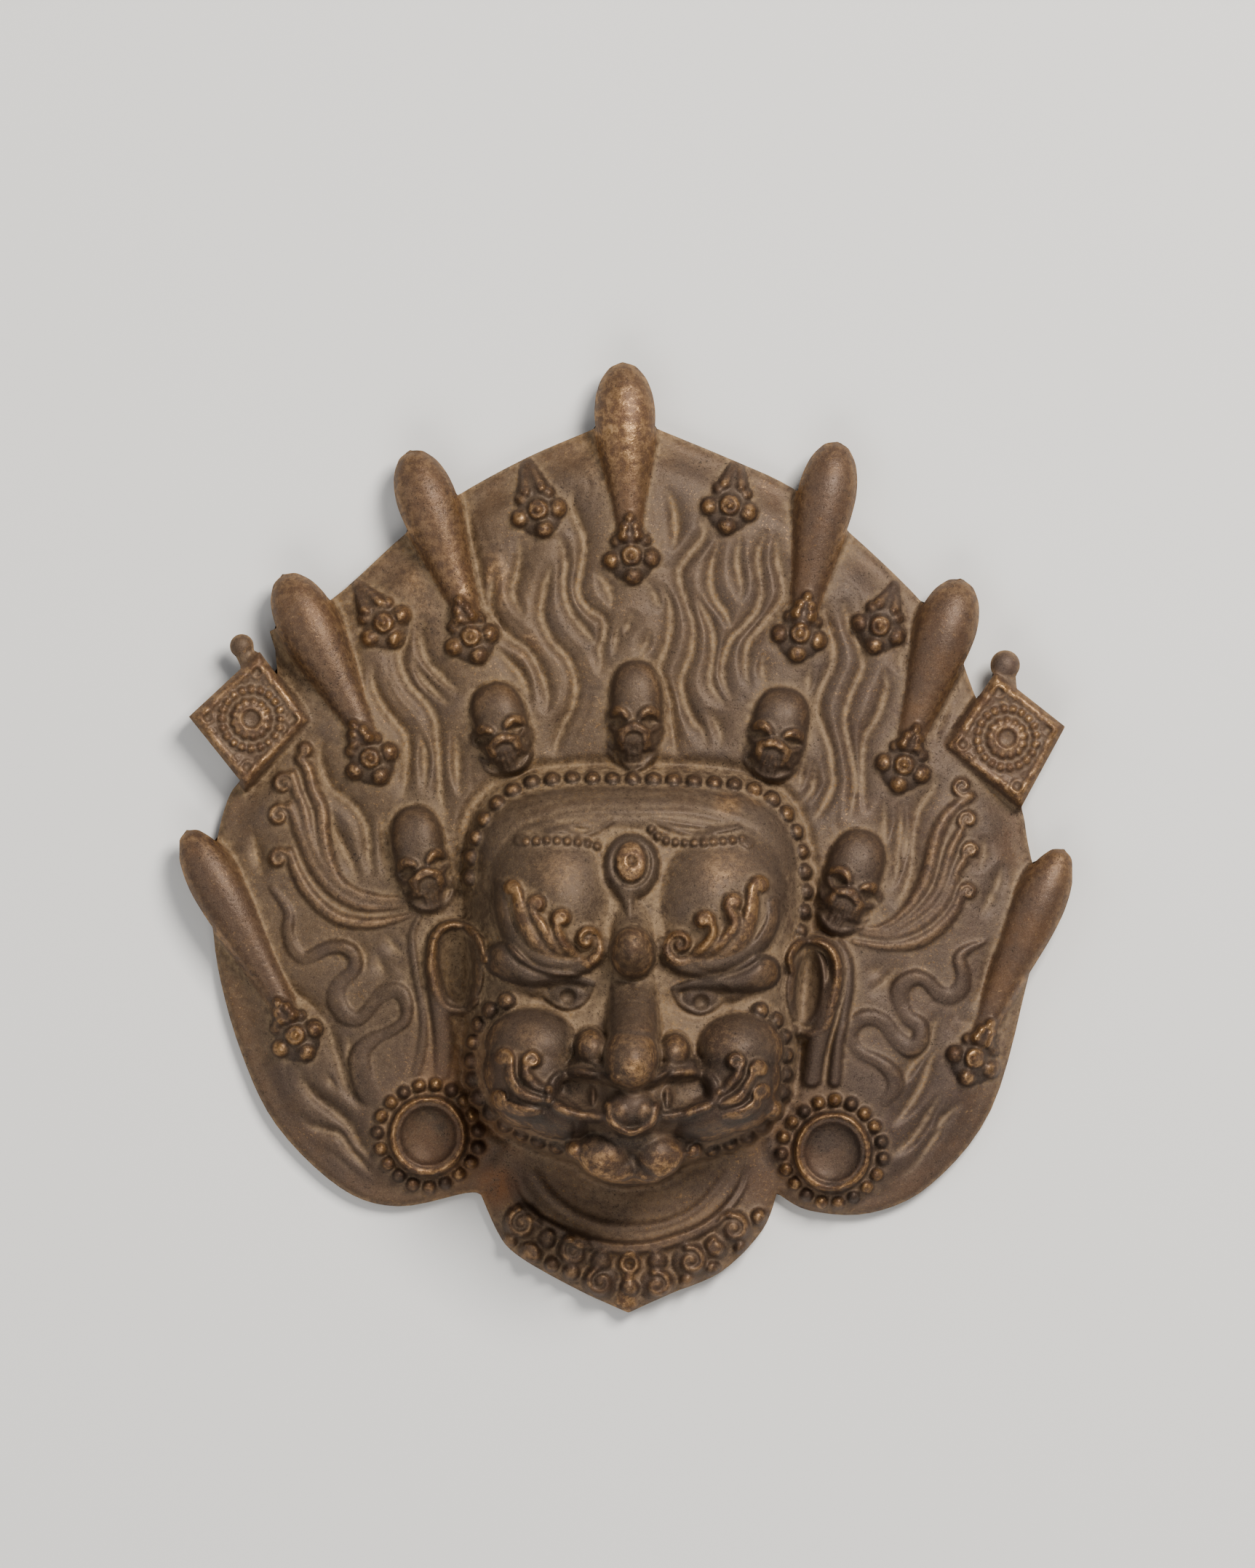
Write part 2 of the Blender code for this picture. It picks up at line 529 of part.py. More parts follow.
def plaque(f, corners):
    centre = np.mean(corners, axis=0)
    reach = 16
    i = f.near(centre - reach, centre + reach)
    depth = inside_depth(f.x[i], f.y[i], corners)
    f.z[i] = np.where(depth > -0.01, np.maximum(f.z[i], PLAQUE_TOP - 0.5 * np.exp(-depth / 0.4)), f.z[i])
    held = f.base
    f.settle()
    border = np.clip(1 - ((depth - 1.1) / 0.8) ** 2, 0, 1) * (depth > 0)
    f.put(i, 0.8 * border**0.5)
    for k in range(16):
        a = 2 * math.pi * k / 16
        f.dome((centre[0] + 6.3 * math.cos(a), centre[1] + 6.3 * math.sin(a)), 1.3, 1.3, 0.9)
    f.ring(centre, 4.4, 0.8, 0.8)
    f.dome(centre, 2.6, 2.6, 1.3)
    f.dome(centre, 1.0, 1.0, 0.3)
    for corner in corners:
        f.ring(centre + 0.68 * (corner - centre), 1.1, 0.6, 0.7)
    f.base = held


def disc(f, at, turn0):
    """A round boss with a stepped rim and a dished middle, in a ring of beads."""
    f.dome(at, DISC_RIM + 1.2, DISC_RIM + 1.6, 3.0, sharp=0.35)
    f.ring(at, DISC_RIM, 0.85, 3.9, squash=1.05)
    f.ring(at, DISC_RIM - 1.15, 0.7, 3.3, squash=1.05)
    held = f.base
    f.settle()
    f.dome(at, DISC_RIM - 1.7, DISC_RIM - 1.4, -3.0, sharp=0.7)
    f.base = held
    for k in range(DISC_BEADS):
        a = turn0 + 2 * math.pi * k / DISC_BEADS
        ring = DISC_BEAD_RING + 0.25 * math.sin(5.0 * k)
        place = (at[0] + ring * math.cos(a), at[1] + ring * 1.02 * math.sin(a))
        f.dome(place, DISC_BEAD, DISC_BEAD, 2.6)


def ears(f):
    """Each ear is a deep bowl in a thick rim, over a long lobe, with a thin strap hanging behind it."""
    for hook, lobe, strap, (at, rx, ry, turn) in zip(EAR_HOOKS, EAR_LOBES, STRAPS, EAR_HOLLOWS):
        f.ridge(smooth(strap), (1.0, 1.2, 1.2, 1.4), (2.2, 2.6, 2.4, 1.8), 0.3)
        f.ridge(smooth(lobe), (2.0, 2.2, 2.3, 2.1), (5.0, 4.4, 3.2, 2.0), 0.25)
        f.dome(at, rx + 1.8, ry + 1.4, 4.6, turn, 0.3)
        f.ridge(smooth(hook), (0.9, 1.2, 1.4, 1.6, 1.7, 1.6, 1.2), (4.4, 5.8, 6.4, 6.2, 5.6, 4.4, 3.6), 0.5)
        f.settle()
        f.dome(at, rx, ry, -3.6, turn, 0.8)


def fans_and_ribbons(f):
    for band, at, radius, hand in FANS:
        line = smooth(band)
        f.ridge(line, (0.8, 1.5, 1.9, 1.9, 1.5), (2.0, 2.6, 3.0, 3.0, 3.0), 0.5)
        end = line[-1]
        start = math.atan2(end[1] - at[1], end[0] - at[0])
        f.scroll(at, radius, start, hand, 0.85, 3.2)
    for ribbon, half in RIBBONS:
        f.ridge(smooth(ribbon), half, (1.8, 2.6, 2.0, 2.8, 2.0, 2.6, 2.0, 2.7, 2.0, 2.6, 1.8), 0.25)


def collar(f):
    """A dish under the chin in two rolled rims, and a band of scrolls and knobs round it to the tip."""
    inner = smooth([(-23.8, -72.0), (-21.8, -76.6), (-17.9, -80.4), (-12.8, -83.2), (-6.7, -85.4), (-0.2,
        -86.4), (6.3, -86.0),
                    (12.8, -84.1), (17.9, -81.7), (21.9, -78.1), (25.0, -73.6), (26.0, -69.6)])
    f.ridge(inner, (0.9, 1.4, 1.6, 1.6, 1.6, 1.4, 0.9), (0.1, 1.8, 2.8, 2.8, 2.8, 1.8, 0.1), 0.6)
    faint = smooth([(-18.5, -70.8), (-15.5, -75.0), (-10.0, -79.2), (-2.6, -81.7), (6.3, -81.7), (12.8,
        -79.7), (17.7, -76.1), (21.8, -70.8)])
    f.ridge(faint, 1.2, (0.3, 0.9, 0.9, 0.3), 0.8)
    f.settle()
    scrolls = [
        ((-21.2, -81.2), 3.0, 1), ((-10.2, -87.1), 2.7, 1), ((14.4, -89.1), 2.9, -1), ((23.5, -82.3),
        2.8, -1),
        ((-4.7, -93.6), 2.8, 1), ((7.4, -94.2), 2.7, -1), ((-19.6, -87.7), 1.8, -1), ((19.6, -86.2),
        1.6, 1),
    ]
    for at, radius, hand in scrolls:
        f.dome(at, radius + 1.2, radius + 1.2, 1.5, sharp=0.6)
    for at, radius, hand in scrolls:
        f.scroll(at, radius, math.pi * 0.6, hand, 0.95, 2.5, 1.35)
        f.dome(at, 0.9, 0.9, 2.8)
    for at, radius in (((-4.7, -89.1), 2.2), ((7.3, -89.1), 2.0), ((1.4, -94.8), 2.0), ((-16.0, -84.5),
            1.9), ((28.7, -79.9), 1.7),
                       ((-14.9, -89.9), 1.6), ((-10.8, -91.3), 1.8), ((18.9, -90.7), 1.7),
                       ((13.6, -93.2), 1.6), ((25.0, -86.2), 1.6),
                       ((-23.8, -84.8), 1.6)):
        f.dome(at, radius, radius, 2.4)
    f.ring((1.4, -89.7), 1.6, 0.9, 2.6)
    f.ridge([(1.4, -91.5), (0.9, -95.2), (0.6, -98.5)], (1.3, 1.8, 2.6), (2.4, 2.2, 1.4), 0.6)


# The relief of the face


def forehead(f):
    """The scalp's band, the two bulges under it, the beaded swags, and the third eye in its ring."""
    f.ridge(smooth([(-29.1, -4.2), (-25.2, 3.1), (-11.2, 6.2), (2.4, 6.7), (16.0, 6.2), (30.0, 3.1),
        (35.6, -4.6)]),
            (3.0, 4.6, 4.8, 4.6, 3.0), (0.6, 1.8, 2.2, 1.8, 0.6), 0.8)
    f.settle()
    f.dome((-15.8, -12.7), 12.2, 15.2, 6.4, 0.06, sharp=0.8)
    f.dome((21.6, -13.2), 12.8, 14.8, 6.4, -0.1, sharp=0.8)
    f.dome((2.1, -20.3), 4.8, 7.0, 3.6, sharp=0.9)
    f.settle()
    for row in ([(-18.4, 0.3), (-12.9, 1.5), (-7.8, 0.8), (-2.9, 2.8)], [(7.3, 3.0), (11.8, 1.5),
            (16.9, 0.8), (24.5, 2.5)]):
        f.ridge(smooth(row), (0.4, 0.8, 0.8, 0.5), (0.5, 1.2, 1.2, 0.6))
    f.scroll((-21.4, -0.6), 1.3, 0.0, 1, 0.5, 1.2)
    f.scroll((26.2, -1.1), 1.3, math.pi, -1, 0.5, 1.2)
    f.settle()
    f.dome((1.8, -5.9), 6.0, 7.0, 4.4, sharp=0.5)
    f.ridge(smooth([(0.9, -10.1), (1.1, -12.7), (1.4, -16.2)]), (3.4, 2.0, 1.0), (3.6, 3.0, 1.6))
    f.settle()
    f.dome((1.8, -5.3), 4.4, 5.2, -2.6, sharp=0.6)
    f.dome((1.7, -5.0), 3.3, 4.3, 0.9, sharp=0.4)
    f.settle()
    f.dome((1.9, -4.7), 1.1, 1.2, -1.6, sharp=0.6)


def plume(f, tip, path, hand, half):
    """One lock of a brow: a tapering ridge with a hooked tip."""
    line = smooth(path)
    f.ridge(line, (half * 0.9, half * 1.15, half * 1.1, half * 0.85), (2.0, 3.3, 3.6, 3.3), 0.5)
    start = math.atan2(line[-1][1] - tip[1], line[-1][0] - tip[0])
    radius = math.hypot(line[-1][1] - tip[1], line[-1][0] - tip[0])
    f.scroll(tip, radius, start, hand, 0.95, 3.5, 1.2)


def brows(f):
    """Each brow is a thick rim that rises from the bridge to the temple, with hooked plumes on it."""
    left = smooth([(-25.7, -9.9), (-25.3, -15.2), (-23.6, -20.3), (-20.1, -24.4), (-14.6, -26.8), (-9.1,
        -26.9), (-5.3, -24.7), (-4.1, -22.2)])
    right = smooth([(31.7, -13.5), (31.3, -17.8), (28.8, -22.0), (24.5, -25.4), (18.6, -27.3), (13.0,
        -26.9), (9.4, -24.9),
                    (8.2, -22.2)])
    for rim in (left, right):
        f.ridge(rim, (1.3, 1.7, 2.0, 2.1, 2.0, 1.6), (1.4, 2.4, 3.1, 3.3, 3.0, 2.2), 0.5)
    plume(f, (-23.4, -10.5), [(-13.8, -25.4), (-18.2, -22.2), (-20.6, -17.8), (-21.7, -13.5), (-22.3,
        -11.0)], 1, 1.4)
    plume(f, (-18.0, -13.9), [(-11.9, -25.2), (-15.0, -22.0), (-17.0, -18.4), (-19.0, -15.6), (-19.4,
        -13.9)], -1, 1.15)
    plume(f, (-12.7, -16.9), [(-9.5, -25.2), (-12.2, -22.5), (-13.4, -20.1), (-14.0, -17.8)], -1, 1.1)
    plume(f, (-7.3, -21.3), [(-11.2, -25.9), (-7.4, -26.1), (-5.0, -24.1), (-4.9, -21.6)], 1, 1.2)
    plume(f, (28.8, -9.9), [(19.4, -25.6), (24.3, -22.2), (26.4, -17.3), (27.1, -12.7), (27.4, -10.3)],
        -1, 1.45)
    plume(f, (23.3, -13.5), [(16.2, -25.4), (20.7, -22.0), (23.7, -18.2), (22.5, -15.2), (22.0, -13.9)],
        -1, 1.15)
    plume(f, (17.0, -17.3), [(13.9, -25.2), (17.0, -22.9), (18.9, -20.3), (18.6, -17.9)], 1, 1.1)
    plume(f, (11.9, -22.2), [(16.4, -25.6), (11.8, -25.9), (9.4, -24.1), (9.5, -22.0)], -1, 1.2)


def eyes(f):
    """Heavy lids that swell into knobs at the temples, over small sunken eyes."""
    for at in ((-11.9, -33.2), (16.4, -34.1)):
        f.dome(at, 7.8, 4.6, -2.0, sharp=1.0)
    f.settle()
    f.ridge(smooth([(-17.0, -31.5), (-15.0, -33.9), (-11.9, -35.4), (-8.5, -34.4), (-6.8, -32.2)]), 0.95,
        (1.0, 1.8, 1.8, 1.0))
    f.ridge(smooth([(11.4, -32.6), (12.9, -34.9), (16.2, -36.3), (19.6, -35.1), (21.3, -32.9)]), 0.95,
        (1.0, 1.8, 1.8, 1.0))
    f.dome((-11.9, -32.8), 4.3, 2.5, 2.5, sharp=0.5)
    f.dome((16.3, -33.7), 4.3, 2.5, 2.5, sharp=0.5)
    f.dome((-25.0, -25.7), 4.3, 4.0, 6.0, sharp=0.5)
    f.dome((29.3, -28.1), 4.2, 4.6, 6.0, sharp=0.5)
    f.ridge(smooth([(-25.0, -25.8), (-21.2, -28.0), (-17.6, -29.1), (-13.8, -29.3), (-9.5, -29.8), (-6.1,
        -31.4)]),
            (3.2, 2.3, 1.6, 1.2, 1.1, 0.9), (5.0, 4.4, 3.6, 3.2, 2.8, 1.4))
    f.ridge(smooth([(29.3, -28.4), (24.9, -29.2), (21.5, -30.2), (17.7, -30.4), (13.5, -30.7), (10.4,
        -32.0)]),
            (3.2, 2.3, 1.6, 1.2, 1.1, 0.9), (5.0, 4.4, 3.6, 3.2, 2.8, 1.4))
    f.settle()
    for at in ((-11.5, -33.2), (16.5, -34.3)):
        f.dome(at, 1.7, 1.5, -1.8, sharp=0.6)


def nose(f):
    f.dome((2.1, -23.9), 4.9, 6.0, 8.8, sharp=0.5)
    f.ridge([(2.2, -30.5), (2.2, -35.6), (2.3, -40.7), (2.4, -45.4)], (4.7, 5.2, 5.6, 5.6), (3.6, 7.5,
        12.5, 18.0), 0.6)
    f.dome((2.4, -45.8), 5.2, 6.8, 20.0, sharp=0.4)
    f.ridge([(-6.6, -43.8), (2.4, -45.0), (10.7, -44.8)], (3.0, 4.6, 3.0), (8.0, 13.0, 8.0), 0.5)
    for at in ((-6.6, -43.6), (10.7, -44.8)):
        f.dome(at, 3.1, 3.8, 11.6, sharp=0.45)
        f.dome(at, 5.8, 5.4, 7.0, sharp=0.9)
    for at in ((-6.6, -48.5), (11.1, -49.1)):
        f.dome(at, 6.6, 3.6, 7.0, sharp=0.8)
    f.ridge(smooth([(-9.3, -46.0), (-5.3, -47.2), (-1.2, -50.6), (2.4, -52.1), (6.2, -50.6), (10.1,
        -47.5), (14.7, -47.2)]),
            (1.4, 2.0, 2.2, 2.0, 1.4), (6.0, 9.5, 10.5, 9.5, 6.0), 0.6)


def cheeks_and_mouth(f):
    """Full cheeks over a broad jaw, a ringed mouth with two fangs, the tongue, and a knobbed chin."""
    f.ball((-19.0, -43.4), 9.9, 8.0, 8.4, 0.5, 0.65)
    f.ball((24.5, -44.3), 9.2, 7.8, 8.4, 0.5, 0.65)
    f.ball((-19.9, -48.9), 9.4, 9.2, 8.8, 0.5, 0.65)
    f.ball((24.3, -49.9), 9.0, 8.8, 8.8, 0.5, 0.65)
    f.ball((-19.2, -54.0), 8.8, 7.2, 8.6, 0.5, 0.6)
    f.ball((23.5, -54.6), 8.8, 7.2, 8.6, 0.5, 0.6)
    f.dome((1.9, -55.0), 19.0, 8.4, 7.8, sharp=0.5)
    f.ball((-12.2, -57.7), 9.0, 5.6, 7.6, 0.5, 0.6)
    f.ball((16.5, -58.1), 9.0, 5.6, 7.6, 0.5, 0.6)
    f.ball((1.6, -65.9), 11.6, 7.0, 6.4, 0.8, 0.5)
    f.settle()
    f.dome((-8.5, -53.8), 6.2, 3.5, -2.3, sharp=0.9)
    f.dome((12.9, -53.6), 6.0, 3.4, -2.3, sharp=0.9)
    f.ridge(smooth([(-1.8, -50.6), (-7.8, -49.2), (-12.5, -49.6), (-14.9, -52.2), (-14.3, -55.5), (-9.9,
        -57.7), (-5.3, -58.4),
                    (-1.8, -58.1)]), (1.2, 1.3, 1.25, 1.2), (2.2, 1.9, 1.9, 2.0))
    f.ridge(smooth([(6.7, -50.4), (11.8, -48.9), (16.4, -49.2), (19.1, -51.9), (18.7, -55.2), (14.7,
        -57.0), (10.5, -58.2),
                    (6.7, -58.2)]), (1.2, 1.3, 1.25, 1.2), (2.2, 1.9, 1.9, 2.0))
    f.dome((1.9, -56.9), 5.2, 4.6, 4.0, sharp=0.35)
    f.dome((-0.5, -57.7), 2.7, 3.6, 4.6, sharp=0.35)
    f.dome((4.3, -57.7), 2.7, 3.6, 4.6, sharp=0.35)
    f.ridge(smooth([(-3.0, -55.9), (-2.2, -59.6), (1.7, -61.5), (6.0, -59.6), (7.0, -55.9)]), 1.0, (3.4,
        5.0, 5.6, 5.0, 3.4))
    f.settle()
    f.ridge([(-6.3, -51.6), (-6.2, -55.9)], (1.35, 0.5), (1.6, 0.8), 0.7)
    f.ridge([(9.2, -51.4), (9.3, -56.4)], (1.6, 0.6), (1.8, 1.0), 0.7)
    f.settle()
    f.ball((-4.1, -66.4), 5.4, 4.9, 4.8, 0.9, 0.5)
    f.ball((7.5, -66.6), 5.0, 4.7, 4.8, 0.9, 0.5)
    f.ball((-1.2, -69.1), 4.6, 3.4, 3.8, 0.9, 0.5)
    f.ball((5.5, -69.1), 4.3, 3.4, 3.8, 0.9, 0.5)
    f.ball((-9.3, -64.4), 2.8, 2.8, 3.0, 0.7)
    f.ball((12.6, -64.4), 2.8, 2.8, 3.0, 0.7)
    f.settle()
    left = [
        ((-25.0, -46.0), [(-15.9, -55.0), (-20.7, -53.6), (-23.4, -50.5), (-23.6, -46.8)], 1),
        ((-18.9, -46.5), [(-15.6, -52.6), (-18.3, -51.6), (-20.2, -49.2), (-20.0, -46.8)], -1),
        ((-25.8, -54.5), [(-17.6, -57.4), (-21.6, -57.0), (-24.5, -55.9), (-25.3, -55.2)], -1),
    ]
    right = [
        ((23.5, -46.8), [(20.6, -53.1), (22.1, -51.8), (24.0, -49.6), (24.5, -47.4)], 1),
        ((28.6, -48.4), [(20.6, -55.7), (24.1, -54.3), (26.2, -51.6), (27.5, -48.9)], -1),
        ((29.3, -53.3), [(21.5, -58.1), (25.4, -57.4), (27.7, -55.7), (28.4, -54.2)], -1),
    ]
    for at, path, hand in left + right:
        line = smooth(path)
        f.ridge(line, (0.8, 1.1, 1.2, 1.0), (1.2, 2.2, 2.6, 2.6), 0.5)
        f.scroll(at, 1.9, math.atan2(line[-1][1] - at[1], line[-1][0] - at[0]), hand, 0.75, 2.8, 1.3)


def face(f):
    forehead(f)
    f.settle()
    brows(f)
    f.settle()
    eyes(f)
    held = f.base
    nose(f)
    f.base = held
    cheeks_and_mouth(f)
    f.settle()
    for row in (CROWN_BEADS, CROWN_SIDE):
        f.beads(smooth(row), CROWN_COUNT if row is CROWN_BEADS else 4, BEAD, 2.5)
    for row, count in SIDE_BEADS:
        f.beads(smooth(row), count, BEAD * 0.95, 2.6)


# The front, the back and the outline


def reach_inside(x, y):
    """How far each place lies inside the whole silhouette, and inside the plate alone."""
    plate = inside_depth(x, y, outline())
    whole = plate.copy()
    for (tip, foot), size in zip(CLUBS, CLUB_SIZE):
        d, t = along_line(x, y, [tip, foot])
        whole = np.maximum(whole, club_half(t, size) - d)
    for corners in PLAQUES:
        whole = np.maximum(whole, inside_depth(x, y, corners))
    for at, root, radius in KNOBS:
        whole = np.maximum(whole, radius - np.hypot(x - at[0], y - at[1]))
        whole = np.maximum(whole, KNOB_STEM - along_line(x, y, [at, root])[0])
    return whole, plate


def front(x, y):
    _, depth = reach_inside(x, y)
    f = Field(x, y, np.where(depth > -0.02, smooth_front(x, y, depth), -1e3))
    hair_locks(f, depth)
    fans_and_ribbons(f)
    for top, bottom, half in SKULLS:
        skull(f, top, bottom, half)
    ears(f)
    for k, at in enumerate(DISCS):
        disc(f, at, 0.1 + 0.1 * k)
    collar(f)
    f.settle()
    face(f)
    for (tip, foot), size in zip(CLUBS, CLUB_SIZE):
        at_foot = plate_height(inside_depth(np.array([foot[0]]), np.array([foot[1]]), outline()))[0]
        club(f, tip, foot, at_foot, size)
    f.settle()
    for (tip, foot), at in zip(CLUBS, FOOT_FLOWERS):
        flower(f, at, frame_of(foot, tip)[1])
    for at, stem in CONE_FLOWERS:
        flower(f, at, frame_of(at, stem)[1], frame_of(at, stem)[2])
    for corners in PLAQUES:
        plaque(f, np.array(corners))
    for at, root, radius in KNOBS:
        d = np.hypot(x - at[0], y - at[1])
        ball = KNOB_AXIS + np.sqrt(np.clip(radius**2 - d**2, 0, None))
        f.z = np.where(d <= radius + 0.02, np.maximum(f.z, ball), f.z)
        d, _ = along_line(x, y, [at, root])
        stem = KNOB_AXIS + np.sqrt(np.clip(KNOB_STEM**2 - d**2, 0, None))
        f.z = np.where(d <= KNOB_STEM + 0.02, np.maximum(f.z, stem), f.z)
    return f.z


def back(x, y, top):
    _, depth = reach_inside(x, y)
    hollow = smooth_front(x, y, depth, WALL) * step_up(depth, RIM_WIDTH, RIM_WIDTH + RIM_RUN)
    inner = Field(x, y, np.clip(hollow, 0, None))
    for at, rx, ry, rise in FACE_HOLLOWS:
        inner.dome(at, rx, ry, rise, sharp=1.5)
        inner.settle()
    under = inner.z
    outer = np.full(x.shape, 2.2)
    for (tip, foot), size in zip(CLUBS, CLUB_SIZE):
        d, t = along_line(x, y, [tip, foot])
        half = club_half(t, size)
        low = CLUB_AXIS - 0.8 * np.sqrt(np.clip(half**2 - d**2, 0, None))
        outer = np.where(d < half + 0.5, low, outer)
    for corners in PLAQUES:
        outer = np.where(inside_depth(x, y, corners) > -0.1, PLAQUE_UNDER, outer)
    for at, root, radius in KNOBS:
        d = np.minimum(np.hypot(x - at[0], y - at[1]) - radius, along_line(x, y, [at, root])[0] - KNOB_STEM)
        low = KNOB_AXIS - 0.8 * np.sqrt(np.clip(radius**2 - (d + radius) ** 2, 0, None))
        outer = np.where(d < 0.1, np.minimum(outer + 9 * (outer == 2.2), low), outer)
    mix = step_up(depth, -0.8, 0.0)
    made = under * mix + outer * (1 - mix)
    return np.clip(np.minimum(made, top - np.where(depth > 0, LEAST_WALL, 0.8)), 0, None)


# The closed body


def flat_grid(pitch):
    """A flat sheet over the silhouette, cut to it, as places and faces."""
    drawn = np.array([place for club_line in CLUBS for place in club_line] + outline().tolist())
    low = drawn.min(axis=0) - GRID_MARGIN
    high = drawn.max(axis=0) + GRID_MARGIN
    xs = np.arange(low[0], high[0], pitch)
    ys = np.arange(low[1], high[1], pitch)
    x, y = np.meshgrid(xs, ys)
    whole, _ = reach_inside(x.ravel(), y.ravel())
    across = len(xs)
    index = np.arange(len(xs) * len(ys)).reshape(len(ys), across)
    quads = np.stack([index[:-1, :-1], index[:-1, 1:], index[1:, 1:], index[1:, :-1]],
        axis=-1).reshape(-1, 4)
    kept = quads[(whole[quads] > 0).any(axis=1)]
    used, renamed = np.unique(kept, return_inverse=True)
    points = np.stack([x.ravel()[used], y.ravel()[used], whole[used]], axis=1)
    sheet = bmesh.new()
    verts = [sheet.verts.new(p) for p in points]
    for a, b, c, d in renamed.reshape(-1, 4):
        sheet.faces.new((verts[a], verts[b], verts[c], verts[d]))
    everything = sheet.verts[:] + sheet.edges[:] + sheet.faces[:]
    bmesh.ops.bisect_plane(sheet, geom=everything, plane_co=(0, 0, 0), plane_no=(0, 0, 1), clear_inner=True)
    bmesh.ops.remove_doubles(sheet, verts=sheet.verts[:], dist=0.12 * pitch)
    bmesh.ops.triangulate(sheet, faces=sheet.faces[:])
    sheet.verts.ensure_lookup_table()
    places = np.array([v.co[:2] for v in sheet.verts])
    faces = np.array([[v.index for v in face.verts] for face in sheet.faces])
    rim = np.array([(e.verts[0].index, e.verts[1].index) for e in sheet.edges if e.is_boundary])
    sheet.free()
    return places, faces, rim


def closed_body(places, faces, rim, top, under):
    count = len(places)
    points = np.concatenate([np.column_stack([places, top]), np.column_stack([places, under])])
    order = {}
    for face in faces:
        for a, b in zip(face, np.roll(face, -1)):
            order[(a, b)] = True
    walls = []
    for a, b in rim:
        if (a, b) not in order:
            a, b = b, a
        walls.append((b, a, a + count))
        walls.append((b, a + count, b + count))
    return points, np.concatenate([faces, faces[:, ::-1] + count, np.array(walls)])


def bronze():
    material = bpy.data.materials.new("bronze")
    material.use_nodes = True
    shader = material.node_tree.nodes["Principled BSDF"]
    shader.inputs["Base Color"].default_value = (0.19, 0.13, 0.08, 1)
    shader.inputs["Metallic"].default_value = 0.7
    shader.inputs["Roughness"].default_value = 0.5
    return material


def clear():
    for found in list(bpy.data.objects):
        bpy.data.objects.remove(found, do_unlink=True)


def thinned(name, points, faces, home):
    """The body with its triangles merged until few enough are left."""
    mesh = bpy.data.meshes.new(name + "_fine")
    mesh.from_pydata(points.tolist(), [], faces.tolist())
    fine = bpy.data.objects.new(name + "_fine", mesh)
    home.objects.link(fine)
    modifier = fine.modifiers.new("thin", "DECIMATE")
    modifier.ratio = TRIANGLES / len(faces)
    bpy.context.view_layer.update()
    graph = bpy.context.evaluated_depsgraph_get()
    made = bpy.data.meshes.new_from_object(fine.evaluated_get(graph))
    bpy.data.objects.remove(fine, do_unlink=True)
    return made


def main():
    clear()
    home = bpy.data.collections.new("mahakala mask")
    bpy.context.scene.collection.children.link(home)
    places, faces, rim = flat_grid(GRID_PITCH / UNIT)
    x, y = places.T
    top = front(x, y)
    under = back(x, y, top)
    points, faces = closed_body(places, faces, rim, top, under)
    made = thinned("mask", points, faces, home)
    flat = np.empty(len(made.vertices) * 3, np.float32)
    made.vertices.foreach_get("co", flat)
    flat = flat.reshape(-1, 3)
    flat[flat[:, 2] < 0.15, 2] = 0
    middle = (flat.max(axis=0) + flat.min(axis=0)) / 2
    flat = (flat - (middle[0], middle[1], 0)) * UNIT
    made.vertices.foreach_set("co", flat.ravel())
    made.name = "mask"
    mask = bpy.data.objects.new("mask", made)
    home.objects.link(mask)
    made.materials.append(bronze())
    made.update()


main()
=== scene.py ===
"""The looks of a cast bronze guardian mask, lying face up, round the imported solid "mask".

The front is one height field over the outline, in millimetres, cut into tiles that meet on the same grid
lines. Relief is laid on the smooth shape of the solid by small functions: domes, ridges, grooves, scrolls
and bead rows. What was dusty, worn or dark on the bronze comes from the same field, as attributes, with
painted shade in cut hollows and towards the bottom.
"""

import math

import bpy
import numpy as np
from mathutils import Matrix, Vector


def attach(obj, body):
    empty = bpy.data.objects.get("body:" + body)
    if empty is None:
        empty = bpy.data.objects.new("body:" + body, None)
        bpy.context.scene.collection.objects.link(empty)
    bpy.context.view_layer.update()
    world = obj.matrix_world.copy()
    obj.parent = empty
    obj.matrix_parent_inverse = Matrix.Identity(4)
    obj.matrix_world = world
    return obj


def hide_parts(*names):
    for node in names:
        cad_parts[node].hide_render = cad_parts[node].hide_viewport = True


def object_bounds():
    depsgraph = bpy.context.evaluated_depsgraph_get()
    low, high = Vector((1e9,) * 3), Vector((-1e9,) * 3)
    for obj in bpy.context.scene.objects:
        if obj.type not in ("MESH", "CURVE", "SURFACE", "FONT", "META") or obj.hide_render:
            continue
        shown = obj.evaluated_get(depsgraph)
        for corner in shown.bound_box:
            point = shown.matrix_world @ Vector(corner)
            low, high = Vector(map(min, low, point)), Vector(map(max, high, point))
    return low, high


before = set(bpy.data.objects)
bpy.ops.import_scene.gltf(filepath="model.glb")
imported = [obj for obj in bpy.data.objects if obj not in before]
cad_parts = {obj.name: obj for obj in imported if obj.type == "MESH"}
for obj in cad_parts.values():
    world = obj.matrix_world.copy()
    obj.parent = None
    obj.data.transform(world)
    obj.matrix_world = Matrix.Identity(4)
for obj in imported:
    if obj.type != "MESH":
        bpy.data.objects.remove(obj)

CAD_LOW, CAD_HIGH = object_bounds()

# All lengths below are in millimetres on the plate, from its middle line and a zero a little above its middle
MM = 0.001
PITCH = 0.28
BACK_PITCH = 0.84
GRID_X = (-95.2, 96.0)
GRID_Y = (-102.2, 102.2)
COARSE_X, COARSE_Y = 98, 104

# Heights below the least one mean that there is no metal
EMPTY = -1e3
LEAST = -100

# Where the front is cut into tiles, across and along
TILE_X = (-36.0, 3.0, 42.0)
TILE_Y = (-72.0, 18.0)

# How far the plate's zero lies from the middle of the solid's box
SHIFT = (0.65, 0.05)

